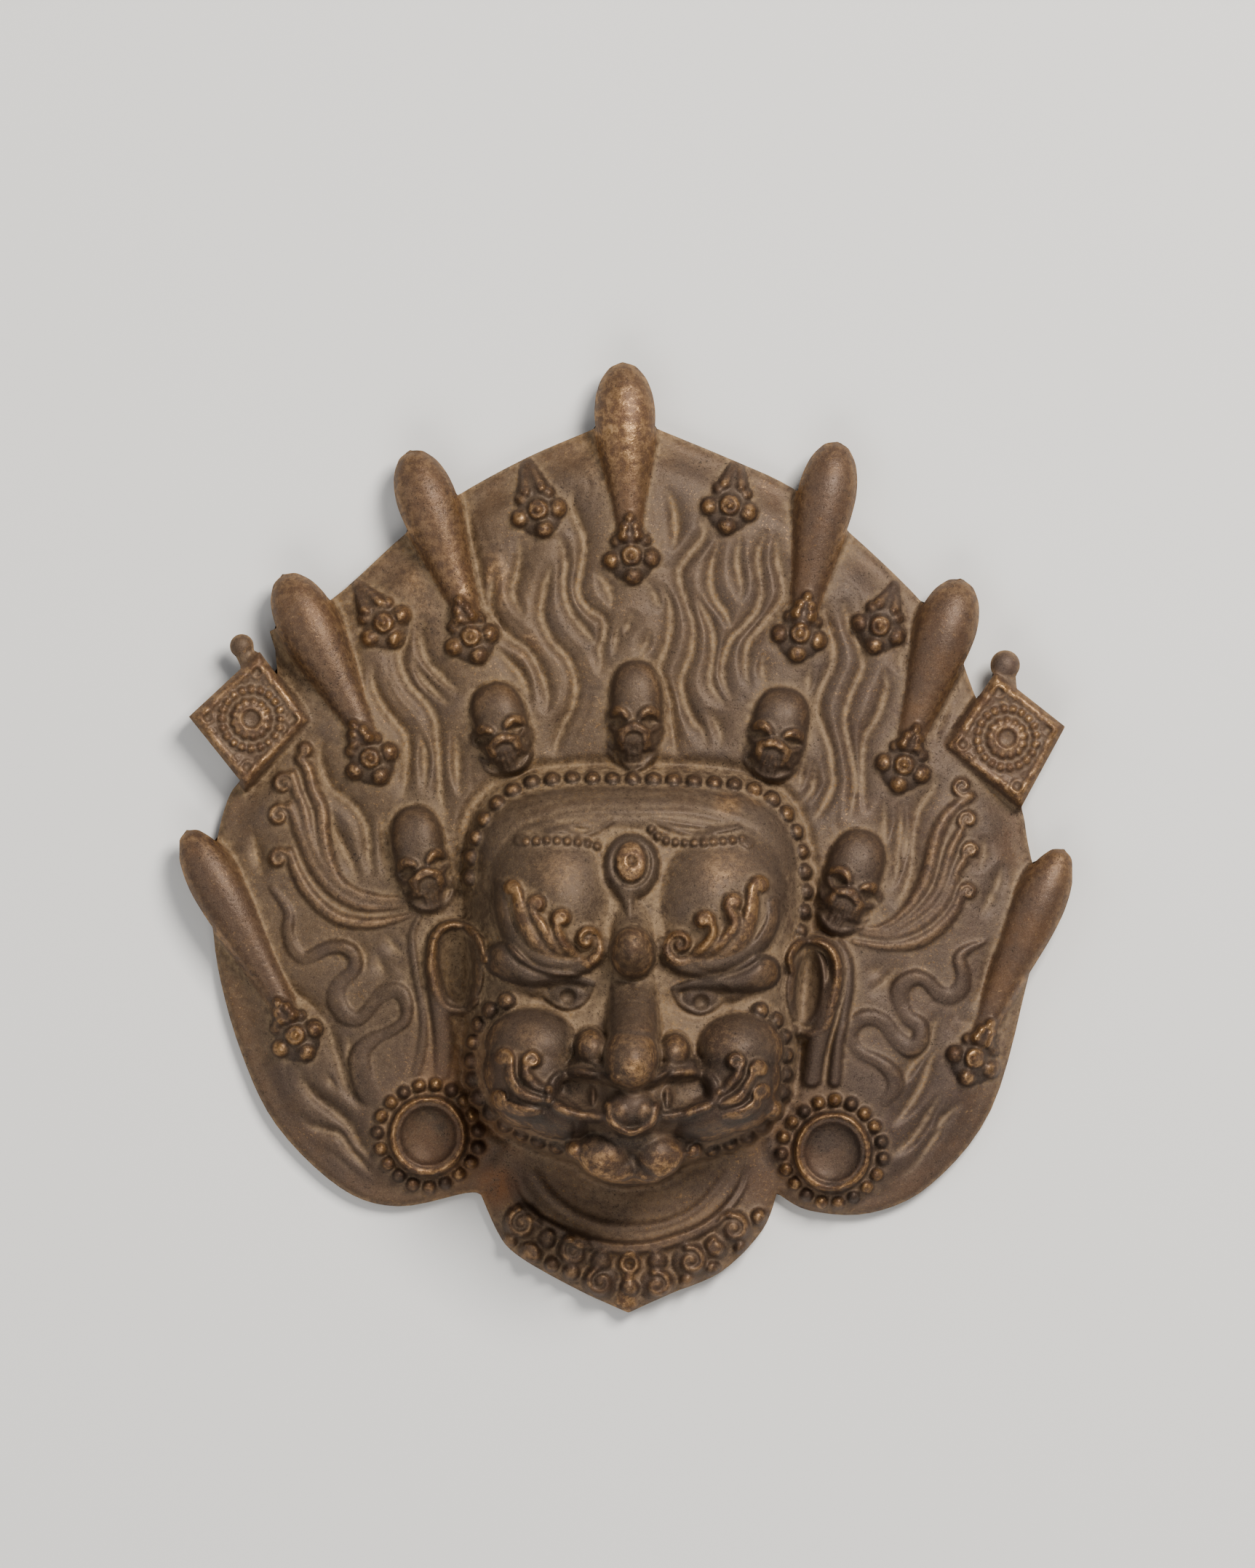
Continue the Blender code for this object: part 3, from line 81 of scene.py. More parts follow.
# The photograph: its size in pixels, the pixel of the plate's zero, and the length of a pixel
PHOTO = (1725, 2156)
ZERO_AT = (856, 1151.5)
PIXEL = 0.15337
CAMERA_HIGH = 5.0
SENSOR = 36.0

# The shell and the smooth shape of the plate
WALL = 3.6
RIM_WIDTH = 5.0
RIM_RUN = 7.0
EDGE_THICK = 2.3
EDGE_ROUND = 1.6
PLATE_RISE = 8.5
PLATE_RUN = 20.0
FACE_X = 2.6
NECK_Y = -70.0
NECK_HALF = (24.0, 14.0)
NECK_DEPTH = 4.0

# How sharp hollows fill as in casting, and how wide the patina looks for pits and basins
FILLET = 0.35
FILLET_REACH = 0.7
FILLET_MOST = 3.0
PIT_REACH = 0.9
BASIN_REACH = 3.2

# The outline of the plate, in runs that join at corners
TOP_RIGHT = [(0.0, 89.2), (6.7, 86.4), (22.9, 79.7), (35.7, 73.7), (47.9, 64.2), (63.3, 49.3), (71.5, 37.3)]
SIDE_RIGHT = [(71.5, 37.3), (74.4, 29.4), (79.1, 17.1), (83.9, 6.5), (85.4, -1.3), (88.2, -14.3)]
LOBE_RIGHT = [
    (88.2, -14.3), (85.1, -30.8), (77.6, -57.3), (64.9, -73.1), (52.1, -79.1), (39.4, -78.6),
    (32.5, -74.9),
]
COLLAR_RIGHT = [(32.5, -74.9), (29.3, -82.9), (20.7, -91.5), (10.0, -96.1), (1.2, -100.1)]
COLLAR_LEFT = [(1.2, -100.1), (-9.0, -95.5), (-20.2, -89.3), (-25.5, -84.6), (-29.9, -75.2)]
LOBE_LEFT = [
    (-29.9, -75.2), (-33.1, -74.9), (-47.4, -77.7), (-59.5, -73.8), (-72.9, -60.7), (-80.4, -45.2),
    (-85.3, -27.4), (-86.8, -12.0),
]
SIDE_LEFT = [(-86.8, -12.0), (-85.3, 0.4), (-82.8, 9.0), (-79.3, 14.0), (-76.7, 23.2), (-72.7, 34.7)]
NOTCH_LEFT = [(-72.7, 34.7), (-73.2, 39.6), (-74.4, 43.5)]
TOP_LEFT = [
    (-74.4, 43.5), (-61.5, 50.1), (-46.0, 63.9), (-34.5, 72.3), (-19.6, 80.4), (-5.5, 86.4), (0.0, 89.2),
]
OUTLINE_RUNS = [
    TOP_RIGHT, SIDE_RIGHT, LOBE_RIGHT, COLLAR_RIGHT, COLLAR_LEFT, LOBE_LEFT, SIDE_LEFT, NOTCH_LEFT,
    TOP_LEFT,
]
STRAIGHT_RUNS = (NOTCH_LEFT,)

# The clubs, each from its tip to its foot, and how half their width runs along them
CLUBS = [
    ((0.0, 100.1), (1.5, 63.9)),
    ((-44.9, 81.5), (-32.7, 47.0)),
    ((45.2, 83.4), (37.7, 46.2)),
    ((-71.6, 55.4), (-54.1, 21.7)),
    ((71.5, 54.4), (60.0, 20.2)),
    ((-91.9, 1.5), (-70.2, -37.3)),
    ((92.8, -2.4), (75.0, -41.9)),
]
CLUB_ALONG = (0.0, 0.02, 0.05, 0.1, 0.16, 0.22, 0.3, 0.42, 0.55, 0.75, 1.0)
CLUB_HALF = (0.0, 2.3, 3.5, 4.8, 5.65, 6.15, 6.4, 6.1, 5.3, 3.9, 2.6)
CLUB_SIZE = (1.0, 0.98, 0.96, 1.0, 1.0, 0.86, 0.86)
CLUB_AXIS = 6.4
CLUB_REACH = 7
CLUB_FOOT_LIFT = 0.8

# Flowers at the feet of the clubs, and others with the top of a long stem
FOOT_FLOWERS = [
    (1.8, 59.4), (-31.9, 42.4), (37.3, 43.0), (-53.1, 16.8), (59.2, 15.4), (-68.9, -41.5), (74.1, -46.4),
]
CONE_FLOWERS = [
    ((-17.8, 69.1), (-20.2, 78.8)),
    ((22.5, 70.0), (24.1, 78.8)),
    ((-50.3, 45.2), (-55.4, 52.7)),
    ((54.1, 44.6), (56.9, 52.1)),
]
BALL = 2.2

# The skulls' domes: the top, the bottom, and half the width
SKULLS = [
    ((2.8, 37.3), (2.9, 14.6), 5.8),
    ((-28.2, 32.4), (-22.1, 14.0), 6.0),
    ((34.4, 31.5), (31.0, 12.2), 6.2),
    ((-44.3, 6.7), (-40.8, -15.4), 5.8),
    ((51.2, 1.5), (44.5, -20.0), 6.3),
]
SKULL_RISE = 7.5

# The skulls' faces, which turn a little from the domes: the chin, the crown, and how bright the brows are
SKULL_FACES = [
    ((2.3, 14.6), (2.3, 37.3), 0.3),
    ((-23.2, 13.6), (-29.3, 32.6), 0.4),
    ((30.1, 12.5), (35.1, 31.7), 0.75),
    ((-39.4, -15.0), (-45.4, 5.0), 0.35),
    ((43.7, -19.1), (54.6, 0.2), 1.0),
]

# The square plaques, and the knobs above them with the roots of their stems
PLAQUES = [
    [(-76.5, 39.2), (-91.3, 25.5), (-79.3, 10.5), (-65.6, 24.8)],
    [(78.5, 34.9), (67.6, 19.1), (83.9, 6.5), (93.1, 23.4)],
]
PLAQUE_TOP = 9.5
PLAQUE_REACH = 16
PLAQUE_UNDER = 4.0
UNDER_LIP = 0.35
UNDER_LEVEL = 2.2
UNDER_REACH = 1.5
KNOBS = [((-80.2, 40.4), (-77.3, 34.0), 2.5), ((80.5, 36.4), (81.1, 29.4), 3.1)]
KNOB_STEM = 2.0
KNOB_AXIS = 6.3

# The high head: its outline, its middle line as (y, z), and the hollows behind its highest parts
HEAD_OUTLINE = [
    (-33.6, -15.1), (-33.1, 0.2), (-29.8, 8.2), (-20.9, 13.7), (2.1, 15.3), (25.2, 13.7), (35.0, 8.2),
    (38.6, -1.3), (39.3, -16.6), (37.1, -35.0), (36.5, -48.8), (32.5, -59.0), (22.9, -65.7), (12.9, -69.2),
    (1.8, -72.6), (-8.6, -69.2), (-17.8, -66.0), (-28.2, -59.7), (-33.1, -48.8), (-33.1, -35.0),
]
HEAD_MIDDLE = [
    (18, 21), (8, 27), (-3, 31), (-14, 33), (-24, 34), (-36, 33), (-48, 35), (-58, 36), (-67, 35),
    (-76, 30),
]
HEAD_SIDE_RUN = 11.0
HEAD_FALL = 7.0
HEAD_HALF = 34.0
FACE_HOLLOWS = [
    ((2.3, -44.2), 9.0, 20.0, 10.0),
    ((-20.4, -44.2), 11.0, 12.0, 5.0),
    ((24.5, -45.8), 11.0, 12.0, 5.0),
    ((1.8, -62.7), 16.0, 9.0, 4.0),
]

# Hair: how high the locks stand, and the dusty valleys between them, each from its top to its foot
HAIR_RISE = 2.4
VALLEY_REACH = 9
CREASE_HALF = 0.62
SHOULDER_HALF = 1.5
FADE_RUN = 6.5
STRAND_PITCH = 2.6
VALLEYS = [
    [(8.8, 73.9), (10.6, 70.3), (11.2, 66.2), (10.9, 62.2), (9.9, 59.5)],
    [(15.3, 67.6), (17.1, 64.9), (16.2, 62.2), (13.5, 59.0), (11.9, 55.9), (12.4, 52.7), (13.7, 48.7),
     (14.8, 45.1), (14.9, 41.9), (14.2, 38.3), (12.8, 34.7), (12.4, 32.0), (13.3, 28.0), (14.8, 24.8),
     (16.9, 22.1), (17.8, 18.5)],
    [(18.9, 64.0), (19.9, 61.7), (18.9, 58.1), (18.5, 53.6), (19.6, 50.0), (21.6, 47.3), (22.7, 44.2),
     (22.5, 41.9)],
    [(29.7, 65.3), (29.5, 62.6), (28.6, 60.4), (28.6, 57.2), (29.2, 53.6), (29.1, 50.5), (27.9, 47.3),
     (25.6, 44.6), (22.9, 41.9), (21.6, 38.8), (21.0, 35.2), (21.6, 31.6), (23.4, 28.4)],
    [(25.0, 64.0), (24.3, 61.3), (24.1, 58.1), (24.7, 54.5), (25.0, 51.8), (23.8, 49.3)],
    [(32.2, 64.4), (32.4, 60.8), (32.8, 57.2), (33.7, 53.6), (33.9, 50.9), (32.4, 48.2), (29.2, 44.6),
     (26.5, 41.0), (25.9, 37.4), (26.1, 33.8), (27.0, 31.1)],
    [(15.5, 52.7), (16.4, 49.1), (18.2, 45.5), (19.1, 41.9), (18.9, 37.4), (18.4, 33.8), (19.1, 31.1),
     (21.1, 28.4), (22.5, 27.1)],
    [(30.1, 39.7), (29.3, 37.0), (29.5, 34.3), (30.6, 31.6)],
    [(39.8, 37.0), (39.1, 33.8), (39.1, 30.7), (39.8, 28.4)],
    [(42.0, 50.5), (42.5, 46.9), (43.6, 43.3), (44.4, 39.7), (44.1, 36.1), (42.5, 32.9), (41.1, 29.3),
     (40.9, 26.2), (42.3, 22.6), (43.6, 18.5), (44.1, 14.0), (44.3, 11.3), (41.8, 5.9), (39.1, 3.0)],
    [(46.3, 50.5), (47.2, 46.4), (48.8, 42.8), (50.4, 39.2), (50.4, 35.6), (48.6, 31.6), (47.2, 27.5),
     (46.8, 23.5), (47.7, 19.4), (48.6, 14.9), (49.0, 11.3), (48.5, 7.5), (47.7, 3.4)],
    [(4.9, 54.5), (6.7, 50.9), (8.5, 47.3), (8.8, 46.0)],
    [(7.6, 54.1), (9.7, 50.0), (10.1, 45.5), (9.7, 41.9), (8.5, 38.3), (7.2, 34.7), (8.8, 31.6),
     (9.9, 28.9), (10.1, 25.3), (10.8, 20.8), (11.2, 16.3)],
    [(5.8, 44.2), (4.9, 41.0), (3.4, 37.6)],
    [(2.2, 48.2), (0.9, 44.2), (-0.7, 41.0)],
    [(16.9, 27.5), (19.3, 24.8), (20.5, 22.1), (20.5, 18.5)],
    [(38.2, 17.6), (37.5, 14.0), (37.3, 11.3), (36.2, 9.2)],
    [(40.7, 17.2), (40.5, 13.6), (40.2, 11.3), (39.5, 9.6), (37.0, 6.7)],
    [(-10.1, 73.9), (-10.8, 70.3), (-9.6, 66.7), (-8.3, 63.5), (-8.1, 60.4), (-8.7, 56.3), (-9.4, 52.7),
     (-8.7, 50.0), (-6.7, 47.8), (-4.0, 46.0), (-3.8, 42.8), (-4.7, 39.7), (-4.5, 36.5), (-5.4, 33.8)],
    [(-14.4, 64.0), (-12.8, 61.7), (-12.0, 58.1), (-12.3, 54.5), (-12.1, 50.9), (-10.8, 47.3), (-8.5, 44.2),
     (-6.3, 41.5), (-4.7, 38.3)],
    [(-22.2, 63.5), (-21.6, 60.4), (-22.0, 56.3), (-22.9, 52.7), (-22.7, 50.0), (-21.1, 47.3),
     (-20.0, 46.0)],
    [(-14.4, 59.0), (-16.6, 51.8), (-17.1, 46.4), (-14.8, 41.5), (-11.7, 37.9), (-9.9, 33.4), (-10.3, 28.4),
     (-12.1, 24.4), (-13.7, 20.8), (-14.4, 16.3)],
    [(-27.6, 57.7), (-27.4, 54.5), (-27.8, 50.9), (-27.4, 47.3), (-25.6, 44.2), (-23.4, 41.9),
     (-21.1, 40.6), (-19.3, 38.8), (-17.5, 35.6), (-16.2, 32.0), (-15.7, 28.4), (-16.6, 25.7)],
    [(-34.6, 71.6), (-33.7, 68.0), (-32.3, 63.5), (-31.0, 59.0), (-30.1, 54.5), (-29.2, 50.0),
     (-27.4, 46.4), (-25.6, 43.3)],
    [(-27.4, 41.0), (-25.2, 38.3), (-22.9, 36.1), (-20.9, 33.4), (-19.8, 30.2), (-18.9, 28.0)],
    [(-41.1, 41.0), (-40.9, 38.3), (-39.1, 35.2), (-36.4, 32.5), (-33.7, 30.2)],
    [(-7.2, 56.3), (-4.9, 55.0), (-3.1, 52.7), (-2.4, 50.0), (-3.1, 46.9)],
    [(-0.4, 47.3), (-1.1, 43.3), (-1.8, 39.7), (-1.8, 37.0)],
    [(-52.5, 37.4), (-52.7, 33.5), (-51.6, 30.1), (-49.9, 27.1), (-47.3, 24.0), (-45.6, 21.5),
     (-45.2, 18.0), (-45.6, 12.9), (-46.2, 7.7)],
    [(-45.2, 47.3), (-46.2, 42.1), (-46.7, 39.1), (-46.5, 36.1), (-44.7, 32.2), (-41.7, 28.8),
     (-39.6, 25.3), (-38.9, 20.6), (-38.5, 14.6), (-38.1, 8.1), (-36.6, 3.8)],
    [(-44.3, 39.5), (-43.4, 35.7), (-40.9, 32.2), (-38.3, 29.6), (-35.7, 27.1)],
    [(-41.7, 47.3), (-42.4, 42.6), (-41.3, 37.8), (-38.7, 34.4), (-35.7, 31.8), (-33.1, 30.5)],
    [(-43.4, 23.2), (-41.7, 18.9), (-41.5, 14.6), (-41.7, 9.0)],
    [(-36.1, 24.0), (-34.8, 18.9), (-34.8, 13.7), (-34.0, 8.1)],
    [(-62.8, 21.5), (-63.7, 18.0), (-63.2, 14.6), (-61.1, 10.3), (-57.2, 7.3), (-54.6, 3.8), (-53.6, -0.1),
     (-53.3, -4.4), (-52.5, -8.7)],
    [(-51.6, 6.0), (-50.5, 2.5), (-49.9, -1.8), (-49.5, -6.1), (-48.6, -9.1)],
    [(-61.5, 6.4), (-60.7, 1.7), (-58.5, -2.6), (-56.8, -6.1), (-55.5, -9.5)],
    [(-78.3, 2.5), (-77.4, -1.8), (-76.2, -6.5), (-75.1, -8.2)],
    [(-55.5, 42.1), (-56.4, 37.8), (-55.5, 31.8), (-52.9, 27.5)],
    [(54.7, 36.3), (55.5, 32.2), (54.7, 28.5), (53.5, 25.2), (51.4, 21.9), (50.6, 18.6), (50.4, 13.7),
     (50.6, 8.8), (51.4, 4.7)],
    [(58.8, 40.8), (58.6, 36.7), (58.8, 33.8)],
    [(54.7, 8.4), (55.1, 4.7), (55.1, 0.6), (54.7, -2.7)],
    [(58.2, 8.0), (58.6, 4.7), (58.4, 0.6), (58.0, -3.5), (57.6, -7.7), (55.9, -11.4)],
    [(66.6, 13.3), (65.4, 10.4), (62.7, 6.7), (61.7, 3.4), (61.1, -1.5), (60.7, -6.8), (59.2, -11.4),
     (56.8, -14.6)],
    [(59.6, 5.5), (59.8, 0.6), (59.4, -3.5), (58.4, -8.5)],
    [(76.5, 0.6), (75.9, -3.5), (74.8, -7.7)],
    [(80.0, -4.8), (78.9, -9.7), (77.3, -13.8)],
    [(70.7, 33.4), (68.3, 28.1), (66.2, 23.2), (65.4, 18.6)],
    [(-62.5, -37.6), (-61.0, -42.5), (-59.6, -47.4), (-58.1, -51.8), (-55.7, -55.7), (-53.7, -57.7)],
    [(-58.4, -40.6), (-57.4, -45.0), (-57.1, -49.4), (-55.7, -52.8), (-53.2, -55.2)],
    [(-68.1, -48.4), (-67.4, -51.3), (-64.5, -54.7), (-60.6, -57.7), (-57.6, -60.6), (-55.7, -64.0),
     (-53.2, -67.5), (-51.8, -69.4)],
    [(-63.0, -47.9), (-61.5, -51.3), (-58.6, -54.3)],
    [(-68.9, -57.2), (-66.4, -60.6), (-63.0, -61.6), (-59.6, -62.6), (-57.1, -66.0), (-54.2, -69.4),
     (-51.3, -72.4)],
    [(-64.0, -65.5), (-60.6, -67.5), (-58.1, -69.9), (-55.7, -72.4), (-52.7, -74.3), (-50.8, -75.3)],
    [(-56.2, -20.5), (-54.7, -24.9), (-53.7, -28.8)],
    [(-52.5, -23.4), (-50.8, -27.4), (-48.8, -29.8)],
    [(-50.3, -20.0), (-47.8, -23.4), (-45.4, -24.9)],
    [(-76.2, -20.5), (-73.8, -27.8), (-70.3, -31.8), (-65.0, -35.7), (-62.0, -39.6)],
    [(67.4, -43.0), (64.9, -46.6), (63.3, -51.2), (60.8, -55.7), (57.8, -59.3), (56.2, -60.8)],
    [(67.4, -53.2), (64.9, -57.3), (62.8, -60.8), (59.8, -64.4), (55.7, -67.4)],
    [(69.4, -57.8), (64.9, -64.4), (61.8, -69.0), (58.8, -71.5), (54.7, -73.5)],
    [(72.5, -55.2), (67.4, -59.3), (64.4, -64.9)],
    [(66.9, -66.9), (62.8, -70.0), (58.8, -73.0), (54.7, -75.1)],
    [(58.3, -26.2), (55.7, -29.8), (51.6, -32.9)],
    [(51.1, -26.8), (53.2, -28.3), (55.7, -26.2)],
    [(66.9, -36.9), (64.9, -41.0), (62.8, -45.1), (59.8, -49.6), (58.3, -53.2)],
    [(78.1, -8.4), (77.6, -12.5), (75.0, -16.6)],
    [(78.6, -21.2), (77.6, -26.2), (76.1, -31.8), (73.0, -35.9)],
]

# Folded ribbons: their middle line, and half their width at each point
RIBBONS = [
    ([(-73.9, -10.6), (-72.0, -12.9), (-70.3, -15.9), (-70.5, -19.7), (-69.3, -23.4), (-66.7, -25.3),
      (-62.6, -23.4), (-59.4, -22.9), (-56.7, -24.5), (-56.5, -27.6), (-59.4, -30.6), (-60.3, -33.6),
      (-58.8, -37.0), (-55.8, -38.1), (-53.2, -35.8), (-50.5, -32.8), (-47.5, -32.1), (-45.6, -34.3),
      (-45.6, -38.1), (-48.3, -40.4), (-52.8, -42.6), (-55.2, -45.6), (-55.0, -49.4), (-53.5, -53.2),
      (-51.6, -55.4)], (0.9, 1.2, 1.35, 1.5, 1.65, 1.65, 1.65, 1.65, 1.65, 1.7, 2.1, 2.3, 2.1, 1.7, 1.7,
                        2.1, 1.9, 1.5, 1.35, 1.35, 1.9, 2.3, 2.5, 2.8, 2.6)),
    ([(76.1, -21.9), (72.7, -23.4), (70.8, -25.3), (71.5, -28.3), (71.3, -31.3), (69.3, -33.2),
      (66.6, -32.8), (64.0, -30.2), (61.4, -29.4), (58.7, -31.3), (58.4, -34.3), (59.9, -37.7),
      (62.5, -39.6), (62.5, -42.6), (60.2, -44.1), (57.2, -41.9), (55.0, -38.9), (51.6, -37.7),
      (48.7, -39.2), (47.8, -42.2), (50.1, -45.3), (53.8, -47.1), (56.5, -49.4), (57.2, -52.4),
      (55.0, -55.4)], (0.6, 1.1, 1.5, 1.65, 2.1, 2.1, 1.65, 1.65, 2.1, 2.25, 1.9, 1.9, 1.9, 2.25, 2.1, 1.95,
                       1.95, 1.95, 1.95, 1.8, 1.65, 1.65, 1.95, 1.95, 1.65)),
]

# Leaf fans: each band from its root to its scroll, then the scroll's centre, radius and turning
FANS = [
    ([(-45.2, -12.5), (-49.5, -12.9), (-53.3, -12.4), (-57.2, -11.2), (-60.2, -8.7), (-62.0, -4.8),
      (-62.8, -1.8), (-63.2, 1.7), (-63.5, 6.0), (-65.4, 10.3), (-66.3, 14.2), (-68.0, 16.7)],
     (-67.1, 18.7), 1.4, 1),
    ([(-45.6, -13.3), (-52.1, -13.4), (-56.4, -12.2), (-59.8, -10.0), (-62.8, -6.5), (-65.0, -2.6),
      (-66.3, 1.7), (-67.2, 6.0), (-68.8, 10.3), (-69.7, 13.3)], (-71.4, 11.4), 2.1, 1),
    ([(-45.2, -14.0), (-49.9, -14.6), (-55.1, -14.2), (-59.4, -12.2), (-62.8, -9.1), (-65.4, -5.2),
      (-67.1, -1.3), (-68.8, 3.4), (-70.1, 6.8)], (-72.3, 4.7), 2.2, 1),
    ([(-43.0, -15.8), (-46.5, -16.8), (-51.6, -17.9), (-56.4, -17.8), (-60.2, -16.8), (-63.7, -14.3),
      (-66.7, -10.8), (-68.8, -6.9), (-70.1, -3.1)], (-72.4, -4.4), 2.0, 1),
    ([(49.4, -18.8), (53.5, -19.1), (57.6, -17.2), (60.9, -13.9), (63.3, -10.1), (64.8, -5.6), (65.8, -0.7),
      (67.4, 3.4), (70.3, 6.7), (73.0, 8.8)], (71.5, 10.8), 2.1, -1),
    ([(49.8, -19.2), (55.9, -19.7), (60.0, -17.6), (63.7, -14.7), (66.6, -10.9), (67.9, -6.8), (69.1, -2.7),
      (70.9, 1.0)], (72.6, 3.8), 2.0, -1),
    ([(49.8, -20.0), (55.9, -20.8), (60.0, -19.7), (64.2, -17.2), (67.4, -13.8), (69.1, -10.1),
      (70.3, -6.8), (71.8, -4.6)], (73.2, -2.7), 1.8, -1),
    ([(48.5, -21.8), (54.3, -22.8), (60.0, -22.4), (63.3, -21.2), (66.6, -18.8), (69.5, -15.5),
      (70.9, -12.2)], (72.6, -11.4), 1.8, -1),
]

# The ear discs and the ears
DISCS = [(-40.9, -62.7), (44.1, -66.1)]
DISC_RIM = 7.4
DISC_BEADS = 19
DISC_BEAD_RING = 10.5
DISC_BEAD = 1.5

EAR_HOOKS = [
    [(-29.3, -25.7), (-30.3, -21.5), (-33.2, -18.7), (-36.6, -18.4), (-39.2, -20.4), (-40.1, -24.2),
     (-40.1, -28.3), (-39.2, -32.5), (-37.3, -35.5), (-33.9, -36.2), (-31.2, -34.3)],
    [(36.0, -28.9), (35.2, -25.3), (37.1, -22.4), (40.3, -21.7), (43.3, -23.0), (44.9, -26.2),
     (44.9, -30.6), (43.7, -35.5), (42.5, -39.6), (39.5, -41.3), (36.5, -40.4)],
]
EAR_LOBES = [
    [(-40.0, -26.8), (-38.8, -34.3), (-37.7, -41.9), (-37.9, -49.3)],
    [(44.4, -31.3), (42.5, -38.1), (40.6, -44.1), (39.7, -50.5)],
]
EAR_HOLLOWS = [((-34.8, -27.2), 3.9, 7.6, 0.1), ((39.0, -31.3), 2.9, 7.6, -0.08)]
STRAPS = [
    [(-42.8, -16.6), (-44.3, -20.4), (-43.7, -26.8), (-42.6, -32.8), (-41.8, -38.9), (-42.2, -44.1),
     (-43.4, -49.4)],
    [(44.9, -21.9), (47.1, -25.3), (47.5, -30.6), (46.4, -37.4), (45.2, -43.4), (44.5, -51.1)],
]

# The collar's scrolls, with their radius and turning, and the knobs between them, with their radius
COLLAR_SCROLLS = [
    ((-21.2, -81.2), 3.0, 1), ((-10.2, -87.1), 2.7, 1), ((14.4, -89.1), 2.9, -1), ((23.5, -82.3), 2.8, -1),
    ((-4.7, -93.6), 2.8, 1), ((7.4, -94.2), 2.7, -1), ((-19.6, -87.7), 1.8, -1), ((19.6, -86.2), 1.6, 1),
]
COLLAR_KNOBS = [
    ((-4.7, -89.1), 2.2), ((7.3, -89.1), 2.0), ((1.4, -94.8), 2.0), ((-16.0, -84.5), 1.9),
    ((28.7, -79.9), 1.7), ((-14.9, -89.9), 1.6), ((-10.8, -91.3), 1.8), ((18.9, -90.7), 1.7),
    ((13.6, -93.2), 1.6), ((25.0, -86.2), 1.6), ((-23.8, -84.8), 1.6),
]

# The rows of beads round the head
BEAD = 1.85
BEAD_VARY = 0.06
CROWN_BEADS = [
    (-31.8, -8.4), (-31.4, -3.3), (-30.2, 1.3), (-28.0, 5.0), (-25.2, 7.9), (-21.8, 10.5), (-18.3, 11.5),
    (-10.3, 12.2), (-1.8, 12.0), (7.0, 11.8), (15.7, 11.5), (24.3, 10.8), (28.2, 9.7), (31.6, 7.6),
    (34.4, 4.6), (36.1, 1.4), (37.4, -2.5), (37.9, -7.1),
]
CROWN_COUNT = 23
CROWN_SIDE = [(37.9, -7.1), (38.3, -11.8), (37.7, -16.9), (37.2, -19.6)]
SIDE_BEADS = [
    ([(-24.1, -34.2), (-27.1, -35.8), (-29.5, -38.3), (-30.9, -41.7), (-31.6, -45.8), (-31.3, -50.5),
      (-29.7, -54.8), (-26.5, -58.8), (-21.4, -62.1), (-17.0, -63.7), (-13.3, -64.7), (-9.9, -65.5)], 13),
    ([(28.5, -36.3), (31.1, -37.7), (33.1, -39.9), (34.1, -43.7), (34.1, -48.4), (33.6, -52.8),
      (31.7, -56.7), (27.9, -61.3), (23.2, -63.7), (19.0, -65.2), (14.7, -65.5)], 12),
]


# The plumes of the brows: the middle of the hook, the path up to it, the way it turns, and half its width
PLUMES = [
    ((-23.4, -10.5), [(-13.8, -25.4), (-18.2, -22.2), (-20.6, -17.8), (-21.7, -13.5), (-22.3, -11.0)], 1,
     1.4),
    ((-18.0, -13.9), [(-11.9, -25.2), (-15.0, -22.0), (-17.0, -18.4), (-19.0, -15.6), (-19.4, -13.9)], -1,
     1.15),
    ((-12.7, -16.9), [(-9.5, -25.2), (-12.2, -22.5), (-13.4, -20.1), (-14.0, -17.8)], -1, 1.1),
    ((-7.3, -21.3), [(-11.2, -25.9), (-7.4, -26.1), (-5.0, -24.1), (-4.9, -21.6)], 1, 1.2),
    ((28.8, -9.9), [(19.4, -25.6), (24.3, -22.2), (26.4, -17.3), (27.1, -12.7), (27.4, -10.3)], -1, 1.45),
    ((23.3, -13.5), [(16.2, -25.4), (20.7, -22.0), (23.7, -18.2), (22.5, -15.2), (22.0, -13.9)], -1, 1.15),
    ((17.0, -17.3), [(13.9, -25.2), (17.0, -22.9), (18.9, -20.3), (18.6, -17.9)], 1, 1.1),
    ((11.9, -22.2), [(16.4, -25.6), (11.8, -25.9), (9.4, -24.1), (9.5, -22.0)], -1, 1.2),
]

# The balls that the cheeks, the jaw and the chin are built from: the place, its two halves, the rise, how level
# the foot is, the sharpness, the dark and the worn
CHEEKS = [
    ((-19.0, -43.4), 9.9, 8.0, 8.4, 0.5, 0.65, 0.6),
    ((24.5, -44.3), 9.2, 7.8, 8.4, 0.5, 0.65, 0.5),
    ((-19.9, -48.9), 9.4, 9.2, 8.8, 0.5, 0.65, 0.85),
    ((24.3, -49.9), 9.0, 8.8, 8.8, 0.5, 0.65, 0.85),
    ((-19.2, -54.0), 8.8, 7.2, 8.6, 0.5, 0.6, 1.0),
    ((23.5, -54.6), 8.8, 7.2, 8.6, 0.5, 0.6, 1.0),
]
JAW = [
    ((-12.2, -57.7), 9.0, 5.6, 7.6, 0.5, 0.6, 1.0),
    ((16.5, -58.1), 9.0, 5.6, 7.6, 0.5, 0.6, 1.0),
    ((1.6, -65.9), 11.6, 7.0, 6.4, 0.8, 0.5, 0.8),
    ((1.6, -63.2), 10.0, 5.0, 6.2, 0.6, 0.6, 0.7),
]
